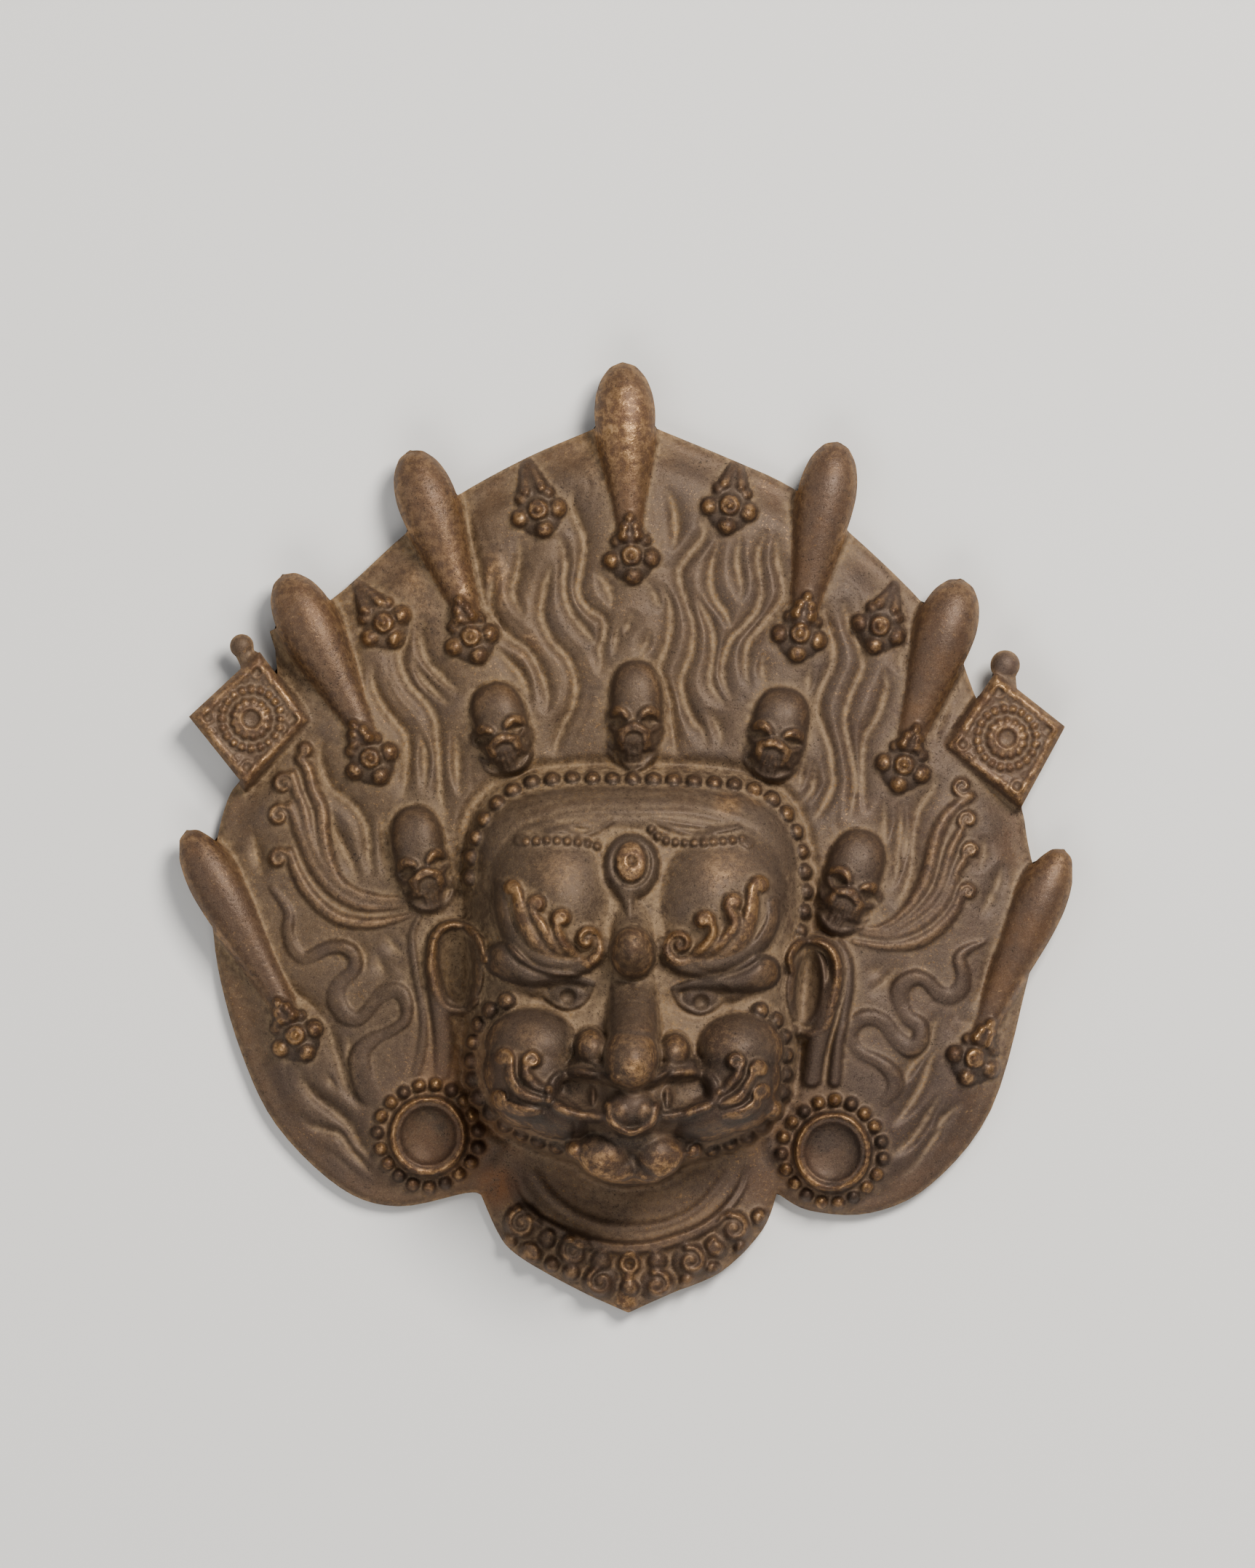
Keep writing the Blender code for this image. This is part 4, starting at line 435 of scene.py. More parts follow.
CHIN = [
    ((-4.1, -66.4), 5.4, 4.9, 4.8, 0.9, 0.5, 0.5, 0.2),
    ((7.5, -66.6), 5.0, 4.7, 4.8, 0.9, 0.5, 0.5, 0.2),
    ((-1.2, -69.1), 4.6, 3.4, 3.8, 0.9, 0.5, 0.6, 0.15),
    ((5.5, -69.1), 4.3, 3.4, 3.8, 0.9, 0.5, 0.6, 0.15),
    ((-9.3, -64.4), 2.8, 2.8, 3.0, 0.7, 0.5, 0.75, 0.3),
    ((12.6, -64.4), 2.8, 2.8, 3.0, 0.7, 0.5, 0.75, 0.3),
]

# The two ringed openings of the mouth, and the curls on the cheeks: the middle, the path, the turning
MOUTH_RINGS = [
    [(-1.8, -50.6), (-7.8, -49.2), (-12.5, -49.6), (-14.9, -52.2), (-14.3, -55.5), (-9.9, -57.7),
     (-5.3, -58.4), (-1.8, -58.1)],
    [(6.7, -50.4), (11.8, -48.9), (16.4, -49.2), (19.1, -51.9), (18.7, -55.2), (14.7, -57.0), (10.5, -58.2),
     (6.7, -58.2)],
]
CURLS = [
    ((-25.0, -46.0), [(-15.9, -55.0), (-20.7, -53.6), (-23.4, -50.5), (-23.6, -46.8)], 1),
    ((-18.9, -46.5), [(-15.6, -52.6), (-18.3, -51.6), (-20.2, -49.2), (-20.0, -46.8)], -1),
    ((-25.8, -54.5), [(-17.6, -57.4), (-21.6, -57.0), (-24.5, -55.9), (-25.3, -55.2)], -1),
    ((23.5, -46.8), [(20.6, -53.1), (22.1, -51.8), (24.0, -49.6), (24.5, -47.4)], 1),
    ((28.6, -48.4), [(20.6, -55.7), (24.1, -54.3), (26.2, -51.6), (27.5, -48.9)], -1),
    ((29.3, -53.3), [(21.5, -58.1), (25.4, -57.4), (27.7, -55.7), (28.4, -54.2)], -1),
]

# Rusty places: the place, how far it reaches, and how much
RUST_AT = [
    ((-26.7, -73.1), 4.0, 1.0),
    ((-33.1, -62.7), 14.0, 0.35),
    ((35.1, -65.7), 13.0, 0.2),
    ((-33.1, -48.8), 10.0, 0.3),
    ((1.8, -76.5), 30.0, 0.1),
]

# The closed side's even patina
BACK_LOOKS = {"dust": 0.35, "dark": 0.28, "worn": 0.105, "rust": 0.105, "plum": 0.28, "bare": 0.21}

# Soft lamps: the place in metres, the size, the watts and the colour
LAMPS = {"key": ((0.5, 0.62, 1.1), (0.5, 0.5), 25.0, (1.0, 0.97, 0.93)), "fill": ((-0.9, 0.1, 0.8),
        (1.0, 1.0), 3.6, (0.93, 0.96, 1.0)), "front": ((-0.1, -0.8, 0.8), (1.0, 0.6), 5.2,
        (1.0, 0.98, 0.95))}
SKY = (0.92, 0.95, 1.0, 1)
SKY_STRENGTH = 0.24
FLOOR_COLOUR = (0.62, 0.61, 0.59, 1)
FLOOR_SIZE = 3.0
FLOOR_LEVEL = -0.0002

# Where the high places are rubbed to bright metal: the place, how far it reaches, and how much
WORN_AT = [
    ((21.5, -7.1), 6.0, 0.3), ((-13.3, -7.1), 6.0, 0.22), ((20.3, -42.0), 5.0, 0.3),
    ((2.9, -48.8), 3.2, 0.8), ((-4.0, -68.1), 3.2, 0.65), ((8.4, -68.6), 3.4, 0.7),
    ((2.4, -22.7), 2.6, 0.6), ((22.0, 7.2), 2.6, 0.6), ((28.3, 9.3), 2.0, 0.8), ((-19.7, -41.6), 4.0, 0.2),
    ((-29.4, 53.9), 4.5, 0.75), ((-19.8, 40.1), 2.4, 0.7), ((0.8, 90.4), 5.0, 0.7),
    ((-41.6, 53.9), 3.0, 0.5),
]


# Lines and distances


def smooth(points, per=4):
    """A smooth line through the points."""
    held = np.array([points[0]] + list(points) + [points[-1]], float)
    made = []
    for i in range(1, len(held) - 2):
        a, b, c, d = held[i - 1 : i + 3]
        second, third = 2 * a - 5 * b + 4 * c - d, 3 * b - a - 3 * c + d
        for t in np.arange(per) / per:
            made.append(0.5 * (2 * b + (c - a) * t + second * t**2 + third * t**3))
    made.append(held[-1])
    return np.array(made)


def spiral(centre, radius, start, turns, hand=1, steps=22):
    t = np.linspace(0, 1, steps)
    angle = start + hand * turns * 2 * math.pi * t
    r = radius * (1 - 0.85 * t)
    return np.stack([centre[0] + r * np.cos(angle), centre[1] + r * np.sin(angle)], axis=1)


def steps(path):
    return np.hypot(*(path[1:] - path[:-1]).T)


def heading(line, at):
    """The direction of a line's end, seen from the place."""
    return math.atan2(line[-1][1] - at[1], line[-1][0] - at[0])


def spot(x, y, at, rx, ry):
    """A soft round spot, from 1 in its middle to 0."""
    return np.exp(-(((x - at[0]) / rx) ** 2) - (((y - at[1]) / ry) ** 2))


def along_line(x, y, path):
    """The distance from each place to the path, and how far along the path it is, from 0 to 1."""
    path = np.asarray(path, float)
    step = steps(path)
    reached = np.concatenate([[0], np.cumsum(step)])
    best = np.full(np.broadcast(x, y).shape, 1e9)
    along = np.zeros(best.shape)
    for (ax, ay), (bx, by), length, start in zip(path[:-1], path[1:], step, reached):
        if length == 0:
            continue
        t = np.clip(((x - ax) * (bx - ax) + (y - ay) * (by - ay)) / length**2, 0, 1)
        d = np.hypot(x - ax - t * (bx - ax), y - ay - t * (by - ay))
        nearer = d < best
        best = np.where(nearer, d, best)
        along = np.where(nearer, start + t * length, along)
    return best, along / reached[-1]


def inside_depth(x, y, loop):
    """The distance to the closed loop, positive inside it."""
    loop = np.asarray(loop, float)
    closed = np.concatenate([loop, loop[:1]])
    depth, _ = along_line(x, y, closed)
    crossings = np.zeros(depth.shape, bool)
    for (ax, ay), (bx, by) in zip(closed[:-1], closed[1:]):
        if ay == by:
            continue
        spans = (ay > y) != (by > y)
        crossings ^= spans & (x < ax + (y - ay) * (bx - ax) / (by - ay))
    return np.where(crossings, depth, -depth)


def step_up(value, low, high):
    t = np.clip((value - low) / (high - low), 0, 1)
    return t * t * (3 - 2 * t)


def outline():
    points = []
    for run in OUTLINE_RUNS:
        line = np.array(run) if run in STRAIGHT_RUNS else smooth(run, 5)
        points.extend(line[:-1])
    return np.array(points)


OUTLINE = outline()
HEAD_LOOP = smooth(HEAD_OUTLINE + HEAD_OUTLINE[:1], 5)


def resample(values, xs, ys, x, y):
    """Values on a coarse grid, read between its places."""
    u = np.clip((x - xs[0]) / (xs[1] - xs[0]), 0, len(xs) - 1.001)
    v = np.clip((y - ys[0]) / (ys[1] - ys[0]), 0, len(ys) - 1.001)
    i, j = v.astype(int), u.astype(int)
    fv, fu = v - i, u - j
    low = values[i, j] * (1 - fu) + values[i, j + 1] * fu
    high = values[i + 1, j] * (1 - fu) + values[i + 1, j + 1] * fu
    return low * (1 - fv) + high * fv


def depth_on(x, y, loop, exact=3.0):
    """Inside depth over a grid: exact near the loop, and from a coarse grid elsewhere."""
    x, y = np.broadcast_arrays(x, y)
    xs = np.arange(-COARSE_X, COARSE_X + 1, 1.0)
    ys = np.arange(-COARSE_Y, COARSE_Y + 1, 1.0)
    full = resample(inside_depth(*np.meshgrid(xs, ys), loop), xs, ys, x, y)
    near = np.abs(full) < exact
    full[near] = inside_depth(x[near], y[near], loop)
    return full


def grid(pitch):
    return np.arange(*GRID_X, pitch), np.arange(*GRID_Y, pitch)


# Relief on a height field


class Field:
    """Heights z over a grid of rows y and columns x. Relief is measured from the base of the last settle.

    dust, dark, worn and bare gather where the patina is dusty, dark, rubbed bright, or clean brown metal.
    Dark that goes into a cut hollow is painted shade.
    """

    def __init__(self, xs, ys, z):
        self.xs = xs
        self.ys = ys
        self.z = z
        self.base = z.copy()
        self.dust = np.zeros(z.shape)
        self.dark = np.zeros(z.shape)
        self.worn = np.zeros(z.shape)
        self.bare = np.zeros(z.shape)

    def settle(self):
        self.base = self.z.copy()

    def near(self, low, high):
        i0, i1 = np.searchsorted(self.ys, (low[1], high[1]))
        j0, j1 = np.searchsorted(self.xs, (low[0], high[0]))
        where = (slice(i0, i1), slice(j0, j1))
        return where, self.xs[None, j0:j1], self.ys[i0:i1, None]

    def put(self, where, rise, dark=0.0, worn=0.0):
        """Raises to the rise above the base, or lowers to it where it is negative."""
        z = self.z[where]
        made = self.base[where] + rise
        up = (rise > 0) & (made > z)
        changed = up | ((rise < 0) & (made < z))
        self.dark[where] = np.maximum(self.dark[where], dark * changed)
        self.worn[where] = np.maximum(self.worn[where], worn * up * np.clip(rise, 0, 1))
        self.z[where] = np.where(changed, made, z)

    def turned(self, at, reach, turn):
        """The cells round a place, and how far each lies across and along a frame turned about it."""
        where, x, y = self.near((at[0] - reach, at[1] - reach), (at[0] + reach, at[1] + reach))
        dx, dy = x - at[0], y - at[1]
        c, s = math.cos(turn), math.sin(turn)
        return where, dx * c + dy * s, dy * c - dx * s

    def dome(self, at, rx, ry, rise, turn=0.0, sharp=0.5, dark=0.0, worn=0.0, foot=0.0, square=2.0):
        """A round boss, squarer as square grows. A foot lifts it on a steep-sided post of the same plan."""
        where, u, v = self.turned(at, max(rx, ry), turn)
        q = np.clip(1 - np.abs(u / rx) ** square - np.abs(v / ry) ** square, 0, 1)
        self.put(where, foot * q**0.14 + rise * q**sharp, dark, worn)

    def ball(self, at, rx, ry, rise, level=1.0, sharp=0.5, dark=0.0, worn=0.0):
        """A boss whose foot is level with the base under its middle, so that it stands clear of a slope."""
        where, x, y = self.near((at[0] - rx, at[1] - ry), (at[0] + rx, at[1] + ry))
        q = np.clip(1 - ((x - at[0]) / rx) ** 2 - ((y - at[1]) / ry) ** 2, 0, 1)
        foot = self.base[where]
        foot = level * (foot.flat[np.argmax(q)] - foot)
        self.put(where, np.where(q > 0, np.maximum(foot + rise * q**sharp, 0), 0), dark, worn)

    def ridge(self, path, half, rise, sharp=0.5, dark=0.0, worn=0.0):
        """A raised line. Half width and rise are numbers, or a row of them spread along the path."""
        path = np.asarray(path, float)
        half = np.atleast_1d(np.asarray(half, float))
        rise = np.atleast_1d(np.asarray(rise, float))
        reach = half.max()
        where, x, y = self.near(path.min(axis=0) - reach, path.max(axis=0) + reach)
        d, t = along_line(x, y, path)
        w = np.interp(t, np.linspace(0, 1, len(half)), half)
        h = np.interp(t, np.linspace(0, 1, len(rise)), rise)
        q = np.clip(1 - (d / np.maximum(w, 1e-6)) ** 2, 0, 1)
        self.put(where, h * q**sharp, dark, worn)

    def groove(self, path, half, depth, dust=0.0):
        """A soft valley cut into what is there, fading at its two ends."""
        path = np.asarray(path, float)
        reach = 2.6 * half
        where, x, y = self.near(path.min(axis=0) - reach, path.max(axis=0) + reach)
        d, t = along_line(x, y, path)
        fade = np.clip(np.minimum(t, 1 - t) * 9, 0, 1) ** 0.5
        cut = np.exp(-((d / half) ** 2)) * fade
        self.z[where] -= depth * cut
        self.dust[where] = np.maximum(self.dust[where], dust * cut)

    def ring(self, at, radius, half, rise, sharp=0.5, squash=1.0, dark=0.0, worn=0.0):
        where, u, v = self.turned(at, radius + half, 0.0)
        q = np.clip(1 - (np.abs(np.hypot(u, v / squash) - radius) / half) ** 2, 0, 1)
        self.put(where, rise * q**sharp, dark, worn)

    def beads(self, path, count, radius, rise, dark=0.0, worn=0.0):
        """Beads of slightly uneven size, evenly along a path."""
        reached = np.concatenate([[0], np.cumsum(steps(path))])
        for k, s in enumerate(np.linspace(0, reached[-1], count)):
            at = (np.interp(s, reached, path[:, 0]), np.interp(s, reached, path[:, 1]))
            r = radius * (1 + BEAD_VARY * math.sin(7.3 * k + 1.7))
            self.ball(at, r, r, rise, dark=dark, worn=worn * (0.5 + 0.5 * math.sin(3.1 * k)))

    def scroll(self, at, radius, start, hand, half, rise, turns=1.3, dark=0.0, worn=0.0):
        self.ridge(spiral(at, radius, start, turns, hand), half, rise, 0.6, dark, worn)


def frame_of(foot, tip):
    """A function that turns a place (across, along) in a local frame into a place on the mask."""
    ax, ay = tip[0] - foot[0], tip[1] - foot[1]
    length = math.hypot(ax, ay)
    ax, ay = ax / length, ay / length

    def place(u, v):
        return (foot[0] + u * ay + v * ax, foot[1] - u * ax + v * ay)

    return place, math.atan2(-ax, ay), length


# The smooth shape under the relief


def plate_height(depth):
    edge = EDGE_THICK + EDGE_ROUND * np.sqrt(1 - (1 - np.clip(depth / EDGE_ROUND, 0, 1)) ** 2)
    return edge + PLATE_RISE * (1 - np.exp(-np.clip(depth, 0, None) / PLATE_RUN))


def head_height(x, y):
    ys = [p[0] for p in HEAD_MIDDLE][::-1]
    zs = [p[1] for p in HEAD_MIDDLE][::-1]
    middle = (np.interp(y - 2, ys, zs) + np.interp(y, ys, zs) + np.interp(y + 2, ys, zs)) / 3
    return middle - HEAD_FALL * ((x - FACE_X) / HEAD_HALF) ** 2


def neck_dish(x, y):
    q = 1 - ((x - FACE_X) / NECK_HALF[0]) ** 2 - ((y - NECK_Y) / NECK_HALF[1]) ** 2
    return NECK_DEPTH * np.clip(q, 0, 1)


def smooth_front(x, y, depth, head, lower=0.0):
    plate = plate_height(depth) - neck_dish(x, y) - lower
    side = 1 - (1 - np.clip((head - lower) / HEAD_SIDE_RUN, 0, 1)) ** 2.4
    return plate + np.maximum(head_height(x, y) - lower - plate, 0) * side


# The relief of each part


def hair(f, depth, head):
    """Rounded locks between dusty valleys, inside a plain margin, with finer strands along wide locks."""
    x, y = f.xs[None, :], f.ys[:, None]
    dish = ((x - FACE_X) / 31.0) ** 2 + ((y + 78.0) / 24.0) ** 2
    field = step_up(depth, 2.5, 8.0) * step_up(-head, 0.0, 3.0) * step_up(dish, 0.9, 1.2)
    crease = np.zeros(f.z.shape)
    shoulder = np.zeros(f.z.shape)
    nearest = np.full(f.z.shape, 30.0)
    for path in VALLEYS:
        line = smooth(path)
        where, wx, wy = f.near(line.min(axis=0) - VALLEY_REACH, line.max(axis=0) + VALLEY_REACH)
        d, t = along_line(wx, wy, line)
        fade = np.clip(np.minimum(t, 1 - t) * steps(line).sum() / FADE_RUN, 0, 1) ** 0.9
        shoulder[where] = np.maximum(shoulder[where], fade * np.exp(-d / SHOULDER_HALF))
        crease[where] = np.maximum(crease[where], fade * np.exp(-((d / CREASE_HALF) ** 2)))
        nearest[where] = np.minimum(nearest[where], d)
    strand = 0.5 - 0.5 * np.cos(2 * math.pi * np.clip(nearest - 1.6, 0, None) / STRAND_PITCH)
    strand = strand * step_up(nearest, 1.8, 3.0) * (1 - step_up(nearest, 4.0, 6.0))
    strand = strand * step_up(np.sin(x / 6.0 + y / 9.0), 0, 1)
    lock = 1 - 1.1 * np.minimum(shoulder, 0.84) - 0.1 * strand
    f.z += HAIR_RISE * (lock - 0.42) * field
    f.z += 0.22 * np.sin(x / 4.1 + 1.3 * np.sin(y / 7.0)) * np.sin(y / 11.0 + x / 17.0) * field
    f.dust += field * np.clip(0.7 * crease + 0.3 * shoulder**2 + 0.05 * strand, 0, 1)
    f.dark += 0.18 * field * (1 - shoulder)


def club_half(t, size):
    profile = smooth(list(zip(CLUB_ALONG, CLUB_HALF)), 8)
    return size * np.interp(t, profile[:, 0], profile[:, 1])


def club(f, tip, foot, at_foot, size):
    path = np.array([tip, foot])
    where, x, y = f.near(path.min(axis=0) - CLUB_REACH, path.max(axis=0) + CLUB_REACH)
    d, t = along_line(x, y, path)
    half = club_half(t, size)
    axis = CLUB_AXIS + (at_foot + CLUB_FOOT_LIFT - CLUB_AXIS) * t
    round_ = np.sqrt(np.clip(1 - (d / np.maximum(half, 1e-6)) ** 2, 0, 1))
    top = np.where(d < half + 0.5, axis + 0.95 * half * round_, EMPTY)
    over = top > f.z[where]
    f.z[where] = np.maximum(f.z[where], top)
    f.dark[where] = np.where(over, 0.16, f.dark[where])
    f.bare[where] = np.where(over, 0.95, f.bare[where])
    f.dust[where] = np.where(over, 0.0, f.dust[where])
    tip_part = np.clip(1 - t * 5, 0, 1)
    f.worn[where] = np.where(over, 0.14 + 0.35 * tip_part + 0.5 * (1 - round_) ** 2, f.worn[where])


def flower(f, at, lean, cone=0.0):
    """A nested ball with balls round it, and smaller ones up a tapering stem."""
    c, s = math.cos(lean), math.sin(lean)

    def place(u, v):
        return (at[0] + u * c - v * s, at[1] + u * s + v * c)

    stem = cone + 1.0 if cone else 8.0
    f.ridge([place(0, -1.0), place(0, 3.5), place(0, stem)], (4.8, 3.6, 1.2), (2.2, 2.4, 1.2), 0.6,
            dark=0.8)
    for u, v, size in ((3.9, -0.7, 1.0), (-4.0, -0.9, 0.95), (0.2, -4.1, 1.0), (2.8, 3.0, 0.72),
                       (-2.7, 3.1, 0.72)):
        f.dome(place(u, v), BALL * size, BALL * size, 3.6 * size, dark=0.85, worn=0.25)
    rows = 6 if cone else 3
    for k in range(rows):
        size = BALL * (0.66 - 0.055 * k)
        v = 4.4 + (cone - 5.0) * k / (rows - 1) if cone else 4.0 + 1.8 * k
        spread = 1.7 * (1 - 0.8 * k / rows)
        for u in ((-spread, spread) if k < rows - 1 else (0.0,)):
            f.dome(place(u, v), size, size * 1.15, 3.6 - 0.4 * k, lean, dark=0.85, worn=0.15)
    f.dome(at, 2.6, 2.6, 4.4, dark=0.85, worn=0.35)
    f.ring(at, 1.75, 0.35, 4.5, dark=0.8, worn=0.5)
    f.dome(at, 1.4, 1.4, 5.4, dark=0.7, worn=0.9)


def skull(f, top, bottom, half, chin, crown, gilt):
    """A broad dome with hooded eyes, and a curled lip over a fan of teeth, in a jaw curving up beside it."""
    at, turn, length = frame_of(bottom, top)
    f.dome(at(0, length * 0.61), half * 0.98, length * 0.4, SKULL_RISE, turn, 0.42, dark=0.45, worn=0.06,
           square=2.4)
    f.dome(at(0, length * 0.38), half * 1.02, length * 0.26, SKULL_RISE * 0.82, turn, 0.45, dark=0.3)
    f.dome(at(0, length * 0.17), half * 0.74, length * 0.2, SKULL_RISE * 0.62, turn, 0.35, dark=0.5)
    held = f.base
    f.settle()
    at, turn, length = frame_of(chin, crown)

    def line(*points):
        return smooth([at(u * half, v * length) for u, v in points])

    for side in (-1, 1):
        eye = at(side * half * 0.58, length * 0.44)
        # The eye socket is darkened as painted shade
        f.dome(eye, half * 0.42, half * 0.38, -1.3, turn, 0.8, dark=0.4)
        hood = line((side * 0.2, 0.42), (side * 0.26, 0.48), (side * 0.55, 0.535), (side * 0.86, 0.5),
                    (side * 0.98, 0.43))
        f.ridge(hood, (0.5, 1.0, 1.15, 1.0, 0.5), (0.6, 1.6, 1.9, 1.5, 0.5), dark=0.6, worn=gilt * 0.22)
        under = line((side * 0.28, 0.39), (side * 0.58, 0.345), (side * 0.9, 0.39))
        f.ridge(under, 0.65, (0.6, 1.3, 0.6), dark=0.45)
    f.ridge(line((-0.4, 0.24), (0, 0.27), (0.4, 0.24)), half * 0.36, (0.9, 1.3, 0.9), dark=0.6)
    f.settle()
    for k in range(-2, 3):
        f.ridge(line((k * 0.12, 0.35), (k * 0.2, 0.13 + 0.012 * k * k)), (0.4, 0.62), (0.5, 1.5), dark=0.65,
                worn=0.12)
    for k in (-1, 0, 1):
        f.ridge(line((k * 0.2, 0.105), (k * 0.17, 0.03)), (0.5, 0.4), (1.0, 0.4), dark=0.6, worn=0.15)
    f.settle()
    lip = line((-0.92, 0.25), (-0.7, 0.19), (-0.52, 0.24), (-0.44, 0.33), (0, 0.385), (0.44, 0.33),
               (0.52, 0.24), (0.7, 0.19), (0.92, 0.25))
    f.ridge(lip, (0.45, 0.75, 0.95, 1.05, 1.1, 1.05, 0.95, 0.75, 0.45), (0.8, 1.5, 2.0, 2.3, 2.5, 2.3, 2.0,
            1.5, 0.8), dark=0.6, worn=0.03)
    f.dome(at(0, length * 0.39), half * 0.22, length * 0.055, 2.8, turn, dark=0.6, worn=gilt * 0.3)
    jaw = line((-0.92, 0.27), (-0.82, 0.13), (-0.48, 0.04), (0, -0.01), (0.48, 0.04), (0.82, 0.13),
               (0.92, 0.27))
    f.ridge(jaw, (0.3, 0.6, 0.8, 0.9, 0.8, 0.6, 0.3), (0.4, 0.8, 1.0, 1.0, 1.0, 0.8, 0.4), 0.7, dark=0.5)
    f.base = held


def plaque(f, corners, turn0):
    centre = np.mean(corners, axis=0)
    where, x, y = f.near(centre - PLAQUE_REACH, centre + PLAQUE_REACH)
    depth = inside_depth(x, y, corners)
    face = PLAQUE_TOP - 0.9 * np.exp(-np.clip(depth, 0, None) / 0.5)
    over = (depth > -0.5) & (face > f.z[where])
    f.z[where] = np.where(depth > -0.5, np.maximum(f.z[where], face), f.z[where])
    f.dust[where] = np.where(over, 0.15, f.dust[where])
    f.dark[where] = np.where(over, 0.3, f.dark[where])
    f.bare[where] = np.where(over, 0.5, f.bare[where])
    held = f.base
    f.settle()
    border = np.clip(1 - ((depth - 1.3) / 1.0) ** 2, 0, 1) * (depth > 0)
    f.put(where, 0.8 * border**0.6, worn=0.7)
    for count, ring, size, rise in ((20, 6.2, 0.95, 1.3), (13, 3.6, 0.95, 1.6)):
        for k in range(count):
            a = turn0 + 2 * math.pi * k / count
            f.dome((centre[0] + ring * math.cos(a), centre[1] + ring * math.sin(a)), size, size, rise,
                   worn=0.6)
    f.ring(centre, 2.4, 0.8, 1.7, worn=0.5)
    f.dome(centre, 1.7, 1.7, 0.9)
    f.settle()
    f.dome(centre, 1.0, 1.0, -0.5)
    for corner in corners:
        at = centre + 0.7 * (corner - centre)
        across = np.array([-(corner - centre)[1], (corner - centre)[0]]) / np.hypot(*(corner - centre))
        f.ring(at, 1.25, 0.45, 0.7, worn=0.4)
        for side in (-1, 1):
            f.ring(at + across * side * 2.4 - 0.12 * (corner - centre), 0.65, 0.35, 0.6, worn=0.3)
    f.base = held


def disc(f, at, turn0):
    """A round boss with a stepped rim and a dished middle, in a ring of beads."""
    f.dome(at, DISC_RIM + 1.2, DISC_RIM + 1.6, 3.0, sharp=0.35, dark=0.5)
    f.ring(at, DISC_RIM, 0.85, 3.9, squash=1.05, dark=0.75, worn=0.3)
    f.ring(at, DISC_RIM - 1.15, 0.7, 3.3, squash=1.05, dark=0.7, worn=0.1)
    held = f.base
    f.settle()
    f.dome(at, DISC_RIM - 1.7, DISC_RIM - 1.4, -3.0, sharp=0.7)
    f.base = held
    for k in range(DISC_BEADS):
        a = turn0 + 2 * math.pi * k / DISC_BEADS
        ring = DISC_BEAD_RING + 0.25 * math.sin(5.0 * k)
        place = (at[0] + ring * math.cos(a), at[1] + ring * 1.02 * math.sin(a))
        f.dome(place, DISC_BEAD, DISC_BEAD, 2.6, dark=0.75, worn=0.5 * (k % 3 != 0))


def ears(f):
    """Each ear is a deep bowl in a thick rim, over a long lobe, with a thin strap hanging behind it."""
    for hook, lobe, strap, (at, rx, ry, turn) in zip(EAR_HOOKS, EAR_LOBES, STRAPS, EAR_HOLLOWS):
        f.ridge(smooth(strap), (1.0, 1.2, 1.2, 1.4), (2.2, 2.6, 2.4, 1.8), 0.3, dark=0.3)
        f.ridge(smooth(lobe), (2.0, 2.2, 2.3, 2.1), (5.0, 4.4, 3.2, 2.0), 0.25, dark=0.35)
        f.dome(at, rx + 1.8, ry + 1.4, 4.6, turn, 0.3)
        f.ridge(smooth(hook), (0.9, 1.2, 1.4, 1.6, 1.7, 1.6, 1.2), (4.4, 5.8, 6.4, 6.2, 5.6, 4.4, 3.6), 0.5,
                dark=0.4, worn=0.1)
        f.settle()
        # The bowl's inside is darkened a little, as painted shade
        f.dome(at, rx, ry, -5.2, turn, 0.7, dark=0.1)


def fans_and_ribbons(f):
    for band, at, radius, hand in FANS:
        line = smooth(band)
        f.ridge(line, (0.8, 1.5, 1.9, 1.9, 1.5), (2.0, 2.6, 3.0, 3.0, 3.0), 0.5, dark=0.3, worn=0.25)
        f.scroll(at, radius, heading(line, at), hand, 0.85, 3.2, dark=0.4, worn=0.3)
    for ribbon, half in RIBBONS:
        f.ridge(smooth(ribbon), half, (1.8, 2.6, 2.0, 2.8, 2.0, 2.6, 2.0, 2.7, 2.0, 2.6, 1.8), 0.25,
                dark=0.5, worn=0.1)


